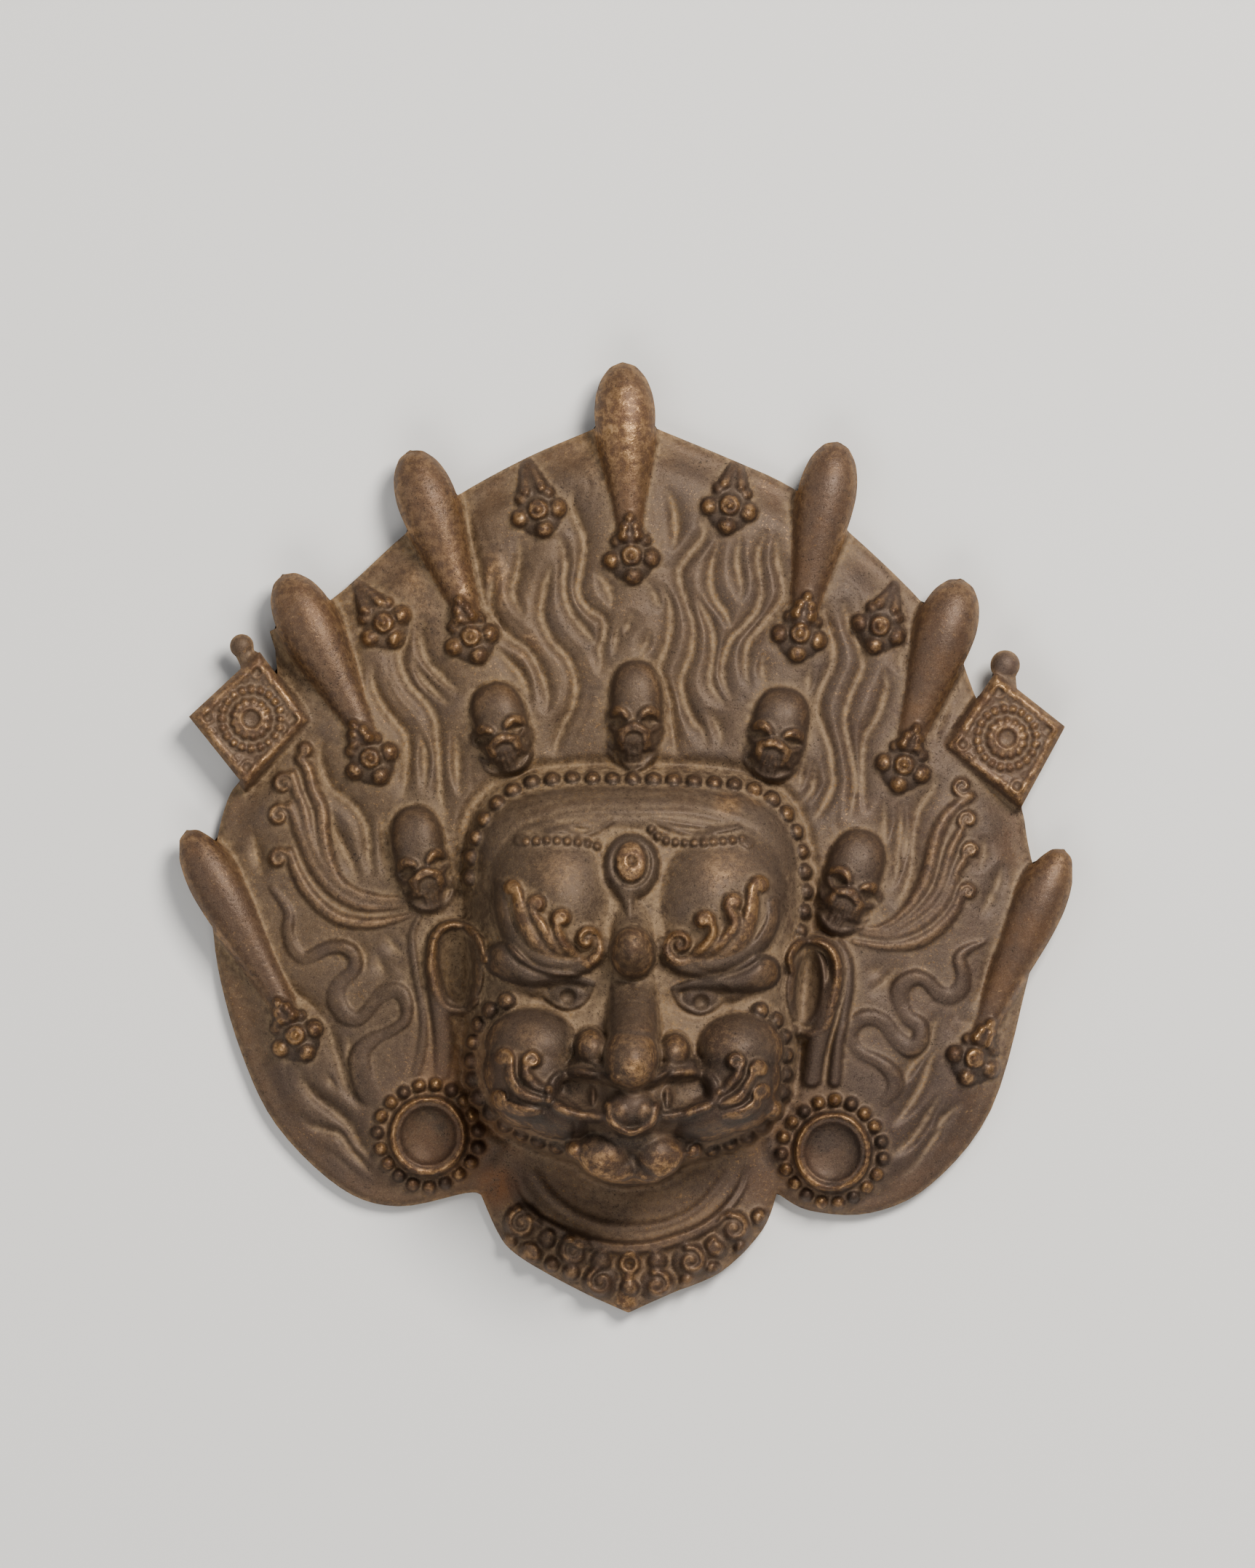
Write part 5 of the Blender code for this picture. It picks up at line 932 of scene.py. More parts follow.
def collar(f):
    """A dish under the chin in two rolled rims, and a band of scrolls and knobs round it to the tip."""
    inner = smooth([(-23.8, -72.0), (-21.8, -76.6), (-17.9, -80.4), (-12.8, -83.2), (-6.7, -85.4),
                    (-0.2, -86.4), (6.3, -86.0), (12.8, -84.1), (17.9, -81.7), (21.9, -78.1), (25.0, -73.6),
                    (26.0, -69.6)])
    f.ridge(inner, (0.9, 1.4, 1.6, 1.6, 1.6, 1.4, 0.9), (0.1, 1.8, 2.8, 2.8, 2.8, 1.8, 0.1), 0.6, dark=0.4,
            worn=0.08)
    f.groove(inner, 0.3, 0.5)
    faint = smooth([(-18.5, -70.8), (-15.5, -75.0), (-10.0, -79.2), (-2.6, -81.7), (6.3, -81.7),
                    (12.8, -79.7), (17.7, -76.1), (21.8, -70.8)])
    f.ridge(faint, 1.2, (0.3, 0.9, 0.9, 0.3), 0.8)
    f.settle()
    for at, radius, hand in COLLAR_SCROLLS:
        f.dome(at, radius + 1.3, radius + 1.3, 2.1, sharp=0.6, dark=0.5)
    for at, radius, hand in COLLAR_SCROLLS:
        f.scroll(at, radius, math.pi * 0.6, hand, 1.1, 3.2, 1.3, dark=0.55, worn=0.2)
        f.dome(at, 1.0, 1.0, 3.5, dark=0.5, worn=0.25)
    for at, radius in COLLAR_KNOBS:
        f.dome(at, radius * 1.12, radius * 1.12, 3.0, dark=0.65, worn=0.15)
    f.ring((1.4, -89.7), 1.6, 0.9, 2.6, dark=0.5, worn=0.3)
    f.ridge([(1.4, -91.5), (0.9, -95.2), (0.6, -98.5)], (1.3, 1.8, 2.6), (2.4, 2.2, 1.4), 0.6, dark=0.2,
            worn=0.9)


# The relief of the face


def forehead(f):
    """The scalp's band, the two bulges under it, the beaded swags, and the third eye in its ring."""
    f.ridge(smooth([(-29.1, -4.2), (-25.2, 3.1), (-11.2, 6.2), (2.4, 6.7), (16.0, 6.2), (30.0, 3.1),
                    (35.6, -4.6)]), (3.0, 4.6, 4.8, 4.6, 3.0), (0.6, 1.8, 2.2, 1.8, 0.6), 0.8)
    f.settle()
    for lift in (0, 2.4, 4.4):
        line = smooth([(-23.5, 4.3), (-11.2, 8.3), (2.4, 8.9), (16.0, 8.4), (28.8, 3.9)]) - (0, lift)
        f.groove(line, 0.5, 0.34, dust=0.3)
    for at, rx, ry, turn in (((-15.6, -12.2), 12.8, 16.0, 0.06), ((21.3, -12.7), 13.4, 15.8, -0.1)):
        f.dome(at, rx, ry, 6.5, turn, sharp=1.0, dark=0.3)
    f.dome((2.1, -20.3), 4.4, 7.4, 3.2, sharp=1.1, dark=0.25)
    f.settle()
    for row in ([(-18.4, 0.3), (-12.9, 1.5), (-7.8, 0.8), (-2.9, 2.8)], [(7.3, 3.0), (11.8, 1.5),
            (16.9, 0.8), (24.5, 2.5)]):
        f.ridge(smooth(row), (0.4, 0.8, 0.8, 0.5), (0.5, 1.2, 1.2, 0.6), dark=0.2)
    for row in ([(-15.9, 1.8), (-10.4, 2.6), (-5.3, 2.1), (-1.8, 3.8)],
                [(6.2, 4.0), (12.6, 2.8), (20.3, 1.8)]):
        f.ridge(smooth(row), 0.5, (0.3, 0.8, 0.4), dark=0.2)
    for row, count in (([(-20.1, -0.9), (-14.6, -0.6), (-7.8, -1.1), (-5.4, -1.8)], 8), ([(6.0, 1.8),
            (8.8, -0.5), (15.2, -1.1), (24.9, -0.3)], 11)):
        f.beads(smooth(row), count, 1.02, 2.0, dark=0.5, worn=0.2)
    for at, start, hand in (((-21.4, -0.6), 0.0, 1), ((26.2, -1.1), math.pi, -1)):
        f.scroll(at, 1.3, start, hand, 0.5, 1.2)
    f.settle()
    f.dome((1.8, -5.9), 6.0, 7.0, 4.4, sharp=0.5, dark=0.75)
    f.ridge(smooth([(0.9, -10.1), (1.1, -12.7), (1.4, -16.2)]), (3.4, 1.7, 0.6), (3.6, 2.4, 0.7), dark=0.6)
    f.settle()
    f.dome((1.8, -5.3), 4.4, 5.2, -2.6, sharp=0.6)
    f.dome((1.7, -5.0), 3.3, 4.3, 0.9, sharp=0.4, worn=1.0)
    f.settle()
    # The pupil's hole is darkened as painted shade
    f.dome((1.9, -4.7), 1.1, 1.2, -1.6, sharp=0.6, dark=0.8)


def brows(f):
    """Each brow is a thick rim that rises from the bridge to the temple, with hooked plumes on it."""
    left = [(-25.7, -9.9), (-25.3, -15.2), (-23.6, -20.3), (-20.1, -24.4), (-14.6, -26.8), (-9.1, -26.9),
            (-5.3, -24.7), (-4.1, -22.2)]
    right = [(31.7, -13.5), (31.3, -17.8), (28.8, -22.0), (24.5, -25.4), (18.6, -27.3), (13.0, -26.9),
             (9.4, -24.9), (8.2, -22.2)]
    for rim in (left, right):
        f.ridge(smooth(rim), (1.3, 1.7, 2.0, 2.1, 2.0, 1.6), (1.4, 2.4, 3.1, 3.3, 3.0, 2.2), 0.5, dark=0.55)
    for tip, path, hand, half in PLUMES:
        line = smooth(path)
        widths = (half * 1.05, half * 1.35, half * 1.25, half)
        f.ridge(line, widths, (2.0, 3.3, 3.7, 3.4), 0.42, dark=0.5, worn=0.5)
        radius = math.hypot(line[-1][1] - tip[1], line[-1][0] - tip[0])
        f.scroll(tip, radius, heading(line, tip), hand, 1.05, 3.6, 1.15, dark=0.45, worn=0.5)


def eyes(f):
    """Heavy lids that swell into knobs at the temples, over small sunken eyes."""
    for at in ((-11.9, -33.2), (16.4, -34.1)):
        f.dome(at, 7.8, 4.6, -2.0, sharp=1.0)
    f.settle()
    for bag in ([(-16.8, -31.0), (-15.3, -33.6), (-11.9, -35.3), (-8.7, -34.3), (-6.9, -31.5)],
                [(11.2, -32.6), (12.8, -34.9), (16.2, -36.3), (19.4, -34.9), (20.9, -32.7)]):
        f.ridge(smooth(bag), 0.95, (1.0, 1.8, 1.8, 1.0), dark=0.5)
    for at in ((-11.9, -32.8), (16.3, -33.7)):
        f.dome(at, 4.3, 2.5, 2.5, sharp=0.5, dark=0.85)
    for lid in ([(-25.3, -25.6), (-23.1, -27.1), (-20.4, -28.6), (-17.3, -29.4), (-13.8, -29.6),
                 (-9.9, -29.8), (-6.6, -30.7)], [(29.4, -28.1), (27.2, -29.1), (24.5, -29.9), (21.5, -30.5),
            (17.7, -30.8), (14.1, -31.0), (10.9, -31.7)]):
        f.ridge(smooth(lid), (3.9, 3.3, 2.5, 2.0, 1.7, 1.4, 0.9), (5.6, 4.9, 3.7, 3.0, 2.6, 2.2, 0.9), 0.6,
                dark=0.85)
    for fold in ([(-21.2, -30.5), (-18.0, -31.5), (-15.0, -31.8)], [(25.8, -31.7), (22.4, -32.7),
            (19.8, -33.2)]):
        f.ridge(smooth(fold), (1.6, 2.2, 1.2), (1.4, 1.6, 0.8), 0.9, dark=0.35)
    f.settle()
    for at in ((-11.5, -33.2), (16.5, -34.3)):
        f.dome(at, 1.7, 1.5, -1.8, sharp=0.6)


def nose(f):
    f.ridge([(1.7, -16.2), (1.9, -19.5), (2.1, -22.9)], (3.2, 4.2, 4.8), (0.5, 3.6, 7.0), 0.8, dark=0.4)
    f.dome((2.1, -24.1), 4.9, 5.6, 4.8, dark=0.55, worn=0.1, foot=4.4)
    f.ridge([(2.1, -29.2), (2.1, -33.9), (2.2, -39.0), (2.3, -45.4)], (4.6, 5.3, 5.8, 5.8),
            (1.6, 7.4, 15.2, 18.6), 0.6, dark=0.3)
    f.dome((1.9, -46.0), 5.8, 6.9, 6.2, sharp=0.55, dark=0.42, worn=0.1, foot=13.4)
    f.ridge([(-5.4, -44.1), (2.1, -45.0), (9.7, -44.8)], (2.4, 4.4, 2.4), (6.0, 11.5, 6.0), 0.6, dark=0.6)
    for at in ((-6.7, -43.6), (10.8, -44.7)):
        f.dome(at, 3.4, 3.9, 3.6, dark=0.65, worn=0.12, foot=5.6)
    for at in ((-6.6, -48.5), (11.1, -49.1)):
        f.dome(at, 6.6, 3.6, 7.0, sharp=0.8, dark=0.6)
    f.ridge(smooth([(-9.3, -46.0), (-5.3, -47.2), (-1.2, -50.6), (2.4, -52.1), (6.2, -50.6), (10.1, -47.5),
                    (14.7, -47.2)]), (1.4, 2.0, 2.2, 2.0, 1.4), (6.0, 9.5, 10.5, 9.5, 6.0), 0.6, dark=0.8)


def cheeks_and_mouth(f):
    """Full cheeks over a broad jaw, a ringed mouth with two fangs, the tongue, and a knobbed chin."""
    for ball in CHEEKS:
        f.ball(*ball)
    f.dome((1.9, -55.0), 19.0, 8.4, 7.8, sharp=0.5, dark=0.7)
    for ball in JAW:
        f.ball(*ball)
    f.settle()
    # The two mouth hollows are darkened as painted shade
    for at, rx, ry, rise in (((-8.7, -53.6), 6.4, 3.8, -2.8), ((13.1, -53.6), 6.2, 3.6, -2.7)):
        f.dome(at, rx, ry, rise, sharp=0.9, dark=0.3)
    for path in MOUTH_RINGS:
        f.ridge(smooth(path), (1.2, 1.3, 1.25, 1.2), (2.2, 1.9, 1.9, 2.0), dark=0.7)
    f.dome((1.9, -56.9), 5.2, 4.6, 4.0, sharp=0.35, dark=0.6)
    for at in ((-0.5, -57.7), (4.3, -57.7)):
        f.dome(at, 2.7, 3.6, 4.6, sharp=0.35, dark=0.55, worn=0.1)
    tongue = smooth([(-3.0, -55.9), (-2.2, -59.6), (1.7, -61.5), (6.0, -59.6), (7.0, -55.9)])
    f.ridge(tongue, 1.0, (3.4, 5.0, 5.6, 5.0, 3.4), dark=0.75, worn=0.15)
    f.settle()
    for at, rx, ry, rise in (((-6.3, -54.0), 0.8, 2.3, 1.9), ((9.5, -54.2), 1.1, 2.5, 2.1)):
        f.dome(at, rx, ry, rise, sharp=0.6, dark=0.75, worn=0.1)
    f.settle()
    for ball in CHIN:
        f.ball(*ball)
    f.groove([(-10.1, -58.8), (-9.9, -61.6), (-10.3, -64.4)], 0.25, 0.7)
    f.settle()
    for at, path, hand in CURLS:
        line = smooth(path)
        f.ridge(line, (0.9, 1.3, 1.35, 1.1), (1.2, 2.2, 2.7, 2.7), 0.45, dark=0.75, worn=0.09)
        f.scroll(at, 1.8, heading(line, at), hand, 0.7, 2.9, 1.3, dark=0.7, worn=0.15)


def face(f):
    forehead(f)
    f.settle()
    brows(f)
    f.settle()
    eyes(f)
    held = f.base
    nose(f)
    f.base = held
    cheeks_and_mouth(f)
    f.settle()
    for row in (CROWN_BEADS, CROWN_SIDE):
        f.beads(smooth(row), CROWN_COUNT if row is CROWN_BEADS else 4, BEAD, 2.6, dark=0.75, worn=0.18)
    for row, count in SIDE_BEADS:
        f.beads(smooth(row), count, BEAD * 1.04, 3.3, dark=0.85, worn=0.12)


# The front, the back and the silhouette


def silhouette(x, y, plate):
    """How far each place lies inside the whole silhouette."""
    whole = plate.copy()
    for (tip, foot), size in zip(CLUBS, CLUB_SIZE):
        d, t = along_line(x, y, [tip, foot])
        whole = np.maximum(whole, club_half(t, size) - d)
    for corners in PLAQUES:
        whole = np.maximum(whole, inside_depth(x, y, corners))
    for at, root, radius in KNOBS:
        whole = np.maximum(whole, radius - np.hypot(x - at[0], y - at[1]))
        whole = np.maximum(whole, KNOB_STEM - along_line(x, y, [at, root])[0])
    return whole


def knob(f, at, root, radius):
    where, x, y = f.near((at[0] - 5, at[1] - 9), (at[0] + 5, at[1] + 5))
    for d, half in ((np.hypot(x - at[0], y - at[1]), radius), (along_line(x, y, [at, root])[0], KNOB_STEM)):
        ball = KNOB_AXIS + np.sqrt(np.clip(half**2 - d**2, 0, None))
        f.z[where] = np.where(d <= half + 0.4, np.maximum(f.z[where], ball), f.z[where])


def box_blur(values, weight, reach):
    """A smooth mean over about the reach, in cells, that reads only where the weight is."""
    size = max(1, int(round(reach)))
    top, bottom = values * weight, weight.astype(float)
    for _ in range(2):
        for axis in (0, 1):
            out = []
            for a in (top, bottom):
                padded = np.pad(a, [(size + 1, size) if k == axis else (0, 0) for k in (0, 1)])
                total = np.cumsum(padded, axis=axis)
                high = np.take(total, range(2 * size + 1, total.shape[axis]), axis=axis)
                low = np.take(total, range(0, total.shape[axis] - 2 * size - 1), axis=axis)
                out.append((high - low) / (2 * size + 1))
            top, bottom = out
    return top / np.maximum(bottom, 1e-6)


def soften(values, inside):
    """One light pass that rounds sharp creases, as casting does."""
    weight = inside.astype(float)
    total = np.zeros(values.shape)
    count = np.zeros(values.shape)
    for di, dj, w in ((0, 0, 4), (1, 0, 2), (-1, 0, 2), (0, 1, 2), (0, -1, 2), (1, 1, 1), (1, -1, 1),
                      (-1, 1, 1), (-1, -1, 1)):
        total += w * np.roll(values * weight, (di, dj), (0, 1))
        count += w * np.roll(weight, (di, dj), (0, 1))
    return np.where(inside, total / np.maximum(count, 1e-6), values)


def slope(z, valid, axis):
    """The rise from cell to cell in millimetres, one-sided beside a cell that has no height."""
    after = np.roll(z, -1, axis) - z
    before = z - np.roll(z, 1, axis)
    has_after = valid & np.roll(valid, -1, axis)
    has_before = valid & np.roll(valid, 1, axis)
    return (after * has_after + before * has_before) / np.maximum(has_after + 1.0 * has_before, 1) / PITCH


def build_front(xs, ys):
    x, y = xs[None, :], ys[:, None]
    depth = depth_on(x, y, OUTLINE)
    head = depth_on(x, y, HEAD_LOOP, 1.0)
    whole = silhouette(x, y, depth)
    f = Field(xs, ys, np.where(depth > -0.6, smooth_front(x, y, depth, head), EMPTY))
    hair(f, depth, head)
    fans_and_ribbons(f)
    for (top, bottom, half), (chin, crown, gilt) in zip(SKULLS, SKULL_FACES):
        skull(f, top, bottom, half, chin, crown, gilt)
    ears(f)
    for k, at in enumerate(DISCS):
        disc(f, at, 0.1 + 0.1 * k)
    collar(f)
    f.settle()
    face(f)
    for (tip, foot), size in zip(CLUBS, CLUB_SIZE):
        at_foot = plate_height(inside_depth(np.array([foot[0]]), np.array([foot[1]]), OUTLINE))[0]
        club(f, tip, foot, at_foot, size)
    f.settle()
    for (tip, foot), at in zip(CLUBS, FOOT_FLOWERS):
        flower(f, at, frame_of(foot, tip)[1])
    for at, stem in CONE_FLOWERS:
        flower(f, at, frame_of(at, stem)[1], frame_of(at, stem)[2])
    for k, corners in enumerate(PLAQUES):
        plaque(f, np.array(corners), 0.1 * k)
    for at, root, radius in KNOBS:
        knob(f, at, root, radius)
    valid = f.z > LEAST
    filled = box_blur(f.z, valid, FILLET_REACH / PITCH)
    f.z = np.where(valid, f.z + FILLET * np.clip(filled - f.z, 0, FILLET_MOST), f.z)
    f.z = soften(soften(f.z, valid), valid)
    return f, whole, depth, head


def under_height(x, y):
    """Heights of the under side: hollow behind plate and head, closed under what reaches past them."""
    depth = inside_depth(x, y, OUTLINE)
    head = inside_depth(x, y, HEAD_LOOP)
    hollow = smooth_front(x, y, depth, head, WALL) * step_up(depth, RIM_WIDTH, RIM_WIDTH + RIM_RUN)
    under = np.clip(hollow, 0, None)
    for at, rx, ry, rise in FACE_HOLLOWS:
        q = np.clip(1 - ((x - at[0]) / rx) ** 2 - ((y - at[1]) / ry) ** 2, 0, 1)
        under = under + rise * q**1.5
    outer = np.full(depth.shape, UNDER_LEVEL)
    for (tip, foot), size in zip(CLUBS, CLUB_SIZE):
        d, t = along_line(x, y, [tip, foot])
        half = club_half(t, size)
        low = CLUB_AXIS - 0.8 * np.sqrt(np.clip((half - UNDER_LIP) ** 2 - d**2, 0, None))
        outer = np.where(d < half + UNDER_REACH, low, outer)
    for corners in PLAQUES:
        outer = np.where(inside_depth(x, y, corners) > -UNDER_REACH, PLAQUE_UNDER, outer)
    for at, root, radius in KNOBS:
        stem = along_line(x, y, [at, root])[0] - KNOB_STEM
        d = np.minimum(np.hypot(x - at[0], y - at[1]) - radius, stem)
        low = KNOB_AXIS - 0.8 * np.sqrt(np.clip((radius - UNDER_LIP) ** 2 - (d + radius) ** 2, 0, None))
        outer = np.where(d < 0.5, np.where(outer == UNDER_LEVEL, low, np.minimum(outer, low)), outer)
    mix = step_up(depth, -0.8, 0.0)
    return under * mix + outer * (1 - mix)


# Meshes


def march(whole, rows, columns):
    """Faces over the part of the grid inside the silhouette, within these rows and columns.

    Returns places as (row, column) numbers that may fall between grid lines, faces, and rim segments.
    """
    i0, i1 = rows
    j0, j1 = columns
    inside = whole > 0
    square = inside[i0 : i1 + 1, j0 : j1 + 1].astype(int)
    count = square[:-1, :-1] + square[:-1, 1:] + square[1:, 1:] + square[1:, :-1]
    across = whole.shape[1]
    fi, fj = np.nonzero(count == 4)
    fi, fj = fi + i0, fj + j0
    base = fi * across + fj
    quads = np.stack([base, base + 1, base + across + 1, base + across], axis=1)
    used, renamed = np.unique(quads, return_inverse=True)
    places = np.stack(np.divmod(used, across), axis=1).astype(float).tolist()
    lookup = {int(u): n for n, u in enumerate(used)}
    edge_points = {}
    faces = []
    rim = []

    def grid_point(i, j):
        key = i * across + j
        if key not in lookup:
            lookup[key] = len(places)
            places.append([float(i), float(j)])
        return lookup[key]

    def cut(a, b):
        key = (min(a, b), max(a, b))
        if key not in edge_points:
            (ia, ja), (ib, jb) = key
            wa, wb = whole[ia, ja], whole[ib, jb]
            t = min(max(wa / (wa - wb), 0.02), 0.98)
            edge_points[key] = len(places)
            places.append([ia + t * (ib - ia), ja + t * (jb - ja)])
        return edge_points[key]

    pi, pj = np.nonzero((count > 0) & (count < 4))
    for i, j in zip((pi + i0).tolist(), (pj + j0).tolist()):
        ring = [(i, j), (i, j + 1), (i + 1, j + 1), (i + 1, j)]
        polygon = []
        cuts = []
        for a, b in zip(ring, ring[1:] + ring[:1]):
            if inside[a]:
                polygon.append(grid_point(*a))
            if inside[a] != inside[b]:
                point = cut(a, b)
                polygon.append(point)
                cuts.append((point, bool(inside[a])))
        if len(polygon) >= 3:
            faces.append(polygon)
        if len(cuts) == 2:
            rim.append((cuts[0][0], cuts[1][0]) if cuts[0][1] else (cuts[1][0], cuts[0][0]))
    return np.array(places), renamed.reshape(-1, 4), faces, rim


def read(values, places):
    i, j = np.floor(places).astype(int).T
    i1 = np.minimum(i + (places[:, 0] > i), values.shape[0] - 1)
    j1 = np.minimum(j + (places[:, 1] > j), values.shape[1] - 1)
    fi, fj = places[:, 0] - i, places[:, 1] - j
    low = values[i, j] * (1 - fj) + values[i, j1] * fj
    high = values[i1, j] * (1 - fj) + values[i1, j1] * fj
    return low * (1 - fi) + high * fi


def to_world(x, y, z):
    """Places in metres, held within the box of the solid."""
    points = np.column_stack([(x - SHIFT[0]) * MM, (y - SHIFT[1]) * MM, z * MM])
    return np.clip(points, np.array(CAD_LOW) + (1e-5, 1e-5, 0), np.array(CAD_HIGH) - 1e-5)


def make_mesh(name, points, quads, polygons, material, attributes, normals=None):
    mesh = bpy.data.meshes.new(name)
    flat = len(quads) * 4
    sizes = [len(p) for p in polygons]
    loops = np.concatenate([np.ravel(quads), [v for p in polygons for v in p]]).astype(np.int32)
    starts = np.concatenate([np.arange(0, flat, 4), flat + np.cumsum([0] + sizes)[:-1]]).astype(np.int32)
    mesh.vertices.add(len(points))
    mesh.vertices.foreach_set("co", np.asarray(points, np.float32).ravel())
    mesh.loops.add(len(loops))
    mesh.loops.foreach_set("vertex_index", loops)
    mesh.polygons.add(len(starts))
    mesh.polygons.foreach_set("loop_start", starts)
    mesh.update(calc_edges=True)
    mesh.validate()
    mesh.polygons.foreach_set("use_smooth", np.ones(len(mesh.polygons), bool))
    for key, values in attributes.items():
        made = mesh.attributes.new(key, "FLOAT", "POINT")
        made.data.foreach_set("value", np.asarray(values, np.float32))
    if normals is not None:
        mesh.normals_split_custom_set_from_vertices(normals.tolist())
    mesh.materials.append(material)
    made = bpy.data.objects.new(name, mesh)
    bpy.context.scene.collection.objects.link(made)
    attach(made, "root")
    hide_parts("mask")


# The bronze


def node(tree, kind, **values):
    made = tree.nodes.new(kind)
    for key, value in values.items():
        setattr(made, key, value)
    return made


def bronze():
    """Brown cast bronze: dust in the hollows, dark on the features, bright metal where it is rubbed.

    The dark also carries painted shade in cut hollows and towards the bottom.
    """
    material = bpy.data.materials.new("bronze")
    material.use_nodes = True
    tree = material.node_tree
    link = tree.links.new
    shader = tree.nodes["Principled BSDF"]
    place = node(tree, "ShaderNodeTexCoord").outputs["Object"]

    def noise(scale, detail, rough=0.6):
        made = node(tree, "ShaderNodeTexNoise")
        made.inputs["Scale"].default_value = scale
        made.inputs["Detail"].default_value = detail
        made.inputs["Roughness"].default_value = rough
        link(place, made.inputs["Vector"])
        return made.outputs["Fac"]

    def attribute(name):
        return node(tree, "ShaderNodeAttribute", attribute_name=name).outputs["Fac"]

    def math_(kind, a, b, clamp=False):
        made = node(tree, "ShaderNodeMath", operation=kind, use_clamp=clamp)
        for socket, value in zip(made.inputs, (a, b)):
            if isinstance(value, (int, float)):
                socket.default_value = value
            else:
                link(value, socket)
        return made.outputs[0]

    def ramp(fac, low, high):
        made = node(tree, "ShaderNodeMapRange", clamp=True, interpolation_type="SMOOTHSTEP")
        made.inputs["From Min"].default_value = low
        made.inputs["From Max"].default_value = high
        link(fac, made.inputs["Value"])
        return made.outputs["Result"]

    def mix(fac, a, b, kind="MIX"):
        made = node(tree, "ShaderNodeMix", data_type="RGBA", blend_type=kind)
        sockets = (made.inputs[0], made.inputs[6], made.inputs[7])
        for socket, value in zip(sockets, (fac, a, b)):
            if isinstance(value, (int, float)):
                socket.default_value = value
            elif isinstance(value, tuple):
                socket.default_value = (*value, 1)
            else:
                link(value, socket)
        return made.outputs[2]

    def plus(a, b):
        return math_("ADD", a, b)

    def times(a, b):
        return math_("MULTIPLY", a, b)

    broad = noise(28, 4)
    middle = noise(120, 6, 0.65)
    fine = noise(620, 6, 0.7)
    specks = noise(1500, 3, 0.7)
    grain = noise(3600, 2, 0.8)
    flakes = noise(420, 7, 0.78)
    clusters = noise(75, 3)
    dust, dark, worn, rust, plum, bare = map(attribute, ("dust", "dark", "worn", "rust", "plum", "bare"))

    # The brown body, with purple parts, clean brown metal, and the dark skin, which also carries painted shade
    body = mix(ramp(broad, 0.35, 0.65), (0.077, 0.0505, 0.030), (0.110, 0.072, 0.043))
    body = mix(ramp(middle, 0.42, 0.66), body, (0.060, 0.041, 0.032))
    purple = mix(ramp(middle, 0.36, 0.62), (0.084, 0.058, 0.051), (0.049, 0.036, 0.034))
    body = mix(times(plum, 0.85), body, purple)
    cloudy = ramp(plus(times(broad, 0.5), times(middle, 0.5)), 0.40, 0.58)
    clean = mix(cloudy, (0.130, 0.072, 0.039), (0.078, 0.049, 0.036))
    body = mix(times(bare, 0.85), body, clean)
    deep = mix(ramp(middle, 0.4, 0.6), (0.019, 0.015, 0.014), (0.045, 0.032, 0.027))
    body = mix(times(dark, 0.85), body, deep)
    handled = mix(ramp(fine, 0.35, 0.65), (0.098, 0.052, 0.030), (0.165, 0.090, 0.048))
    body = mix(math_("MULTIPLY", worn, 0.75, True), body, handled)

    # Dust, ochre specks in it, and rust
    dusty = mix(ramp(fine, 0.35, 0.65), (0.150, 0.102, 0.059), (0.240, 0.170, 0.102))
    dusty = mix(times(plum, 0.6), dusty, (0.182, 0.134, 0.098))
    uneven = ramp(plus(times(middle, 0.55), times(fine, 0.45)), 0.30, 0.56)
    dust_amount = math_("MULTIPLY", dust, uneven, True)
    body = mix(dust_amount, body, dusty)
    ochre = times(times(ramp(specks, 0.52, 0.62), ramp(clusters, 0.42, 0.58)), dust_amount)
    body = mix(times(ochre, 0.5), body, (0.20, 0.122, 0.050))
    body = mix(times(rust, ramp(middle, 0.35, 0.6)), body, (0.22, 0.082, 0.024))

    # Bright chips where it is rubbed, and small gilt flecks
    chips = ramp(plus(plus(times(middle, 0.35), times(fine, 0.4)), times(flakes, 0.25)), 0.45, 0.57)
    rubbed = math_("MULTIPLY", math_("SUBTRACT", times(worn, 1.5), 0.12, True), chips, True)
    fleck = times(ramp(specks, 0.60, 0.66), ramp(clusters, 0.44, 0.62))
    fleck = times(fleck, math_("SUBTRACT", 0.75, dark, True))
    bright = math_("MAXIMUM", rubbed, times(fleck, 0.8))
    gilt = mix(ramp(fine, 0.4, 0.62), (0.27, 0.155, 0.066), (0.42, 0.272, 0.150))
    body = mix(times(bright, 0.85), body, gilt)

    # Pits, and a fine light and dark grain
    pits = times(ramp(specks, 0.40, 0.35), ramp(clusters, 0.55, 0.42))
    body = mix(times(pits, 0.65), body, (0.022, 0.017, 0.014))
    body = mix(times(ramp(grain, 0.5, 0.75), 0.22), body, (0.26, 0.20, 0.145))
    body = mix(times(ramp(grain, 0.48, 0.28), 0.35), body, (0.025, 0.019, 0.016))
    link(body, shader.inputs["Base Color"])

    # Gloss and bump
    shader.inputs["Specular IOR Level"].default_value = 0.36
    shader.inputs["Specular Tint"].default_value = (1.0, 0.87, 0.75, 1)
    metal = math_("SUBTRACT", plus(times(bright, 0.62), 0.22), times(dust_amount, 0.2), True)
    link(metal, shader.inputs["Metallic"])
    rough = plus(0.49, times(math_("SUBTRACT", fine, 0.5), 0.35))
    rough = plus(rough, times(dust_amount, 0.24))
    rough = math_("SUBTRACT", rough, plus(times(bright, 0.12), times(bare, 0.07)))
    link(rough, shader.inputs["Roughness"])
    height = plus(times(middle, 0.5), times(fine, 0.42))
    for layer, amount in ((specks, 0.15), (grain, 0.06), (pits, -0.12), (rubbed, 0.03)):
        height = plus(height, times(layer, amount))
    bump = node(tree, "ShaderNodeBump")
    bump.inputs["Strength"].default_value = 0.55
    bump.inputs["Distance"].default_value = 0.0006
    link(height, bump.inputs["Height"])
    link(bump.outputs["Normal"], shader.inputs["Normal"])
    return material


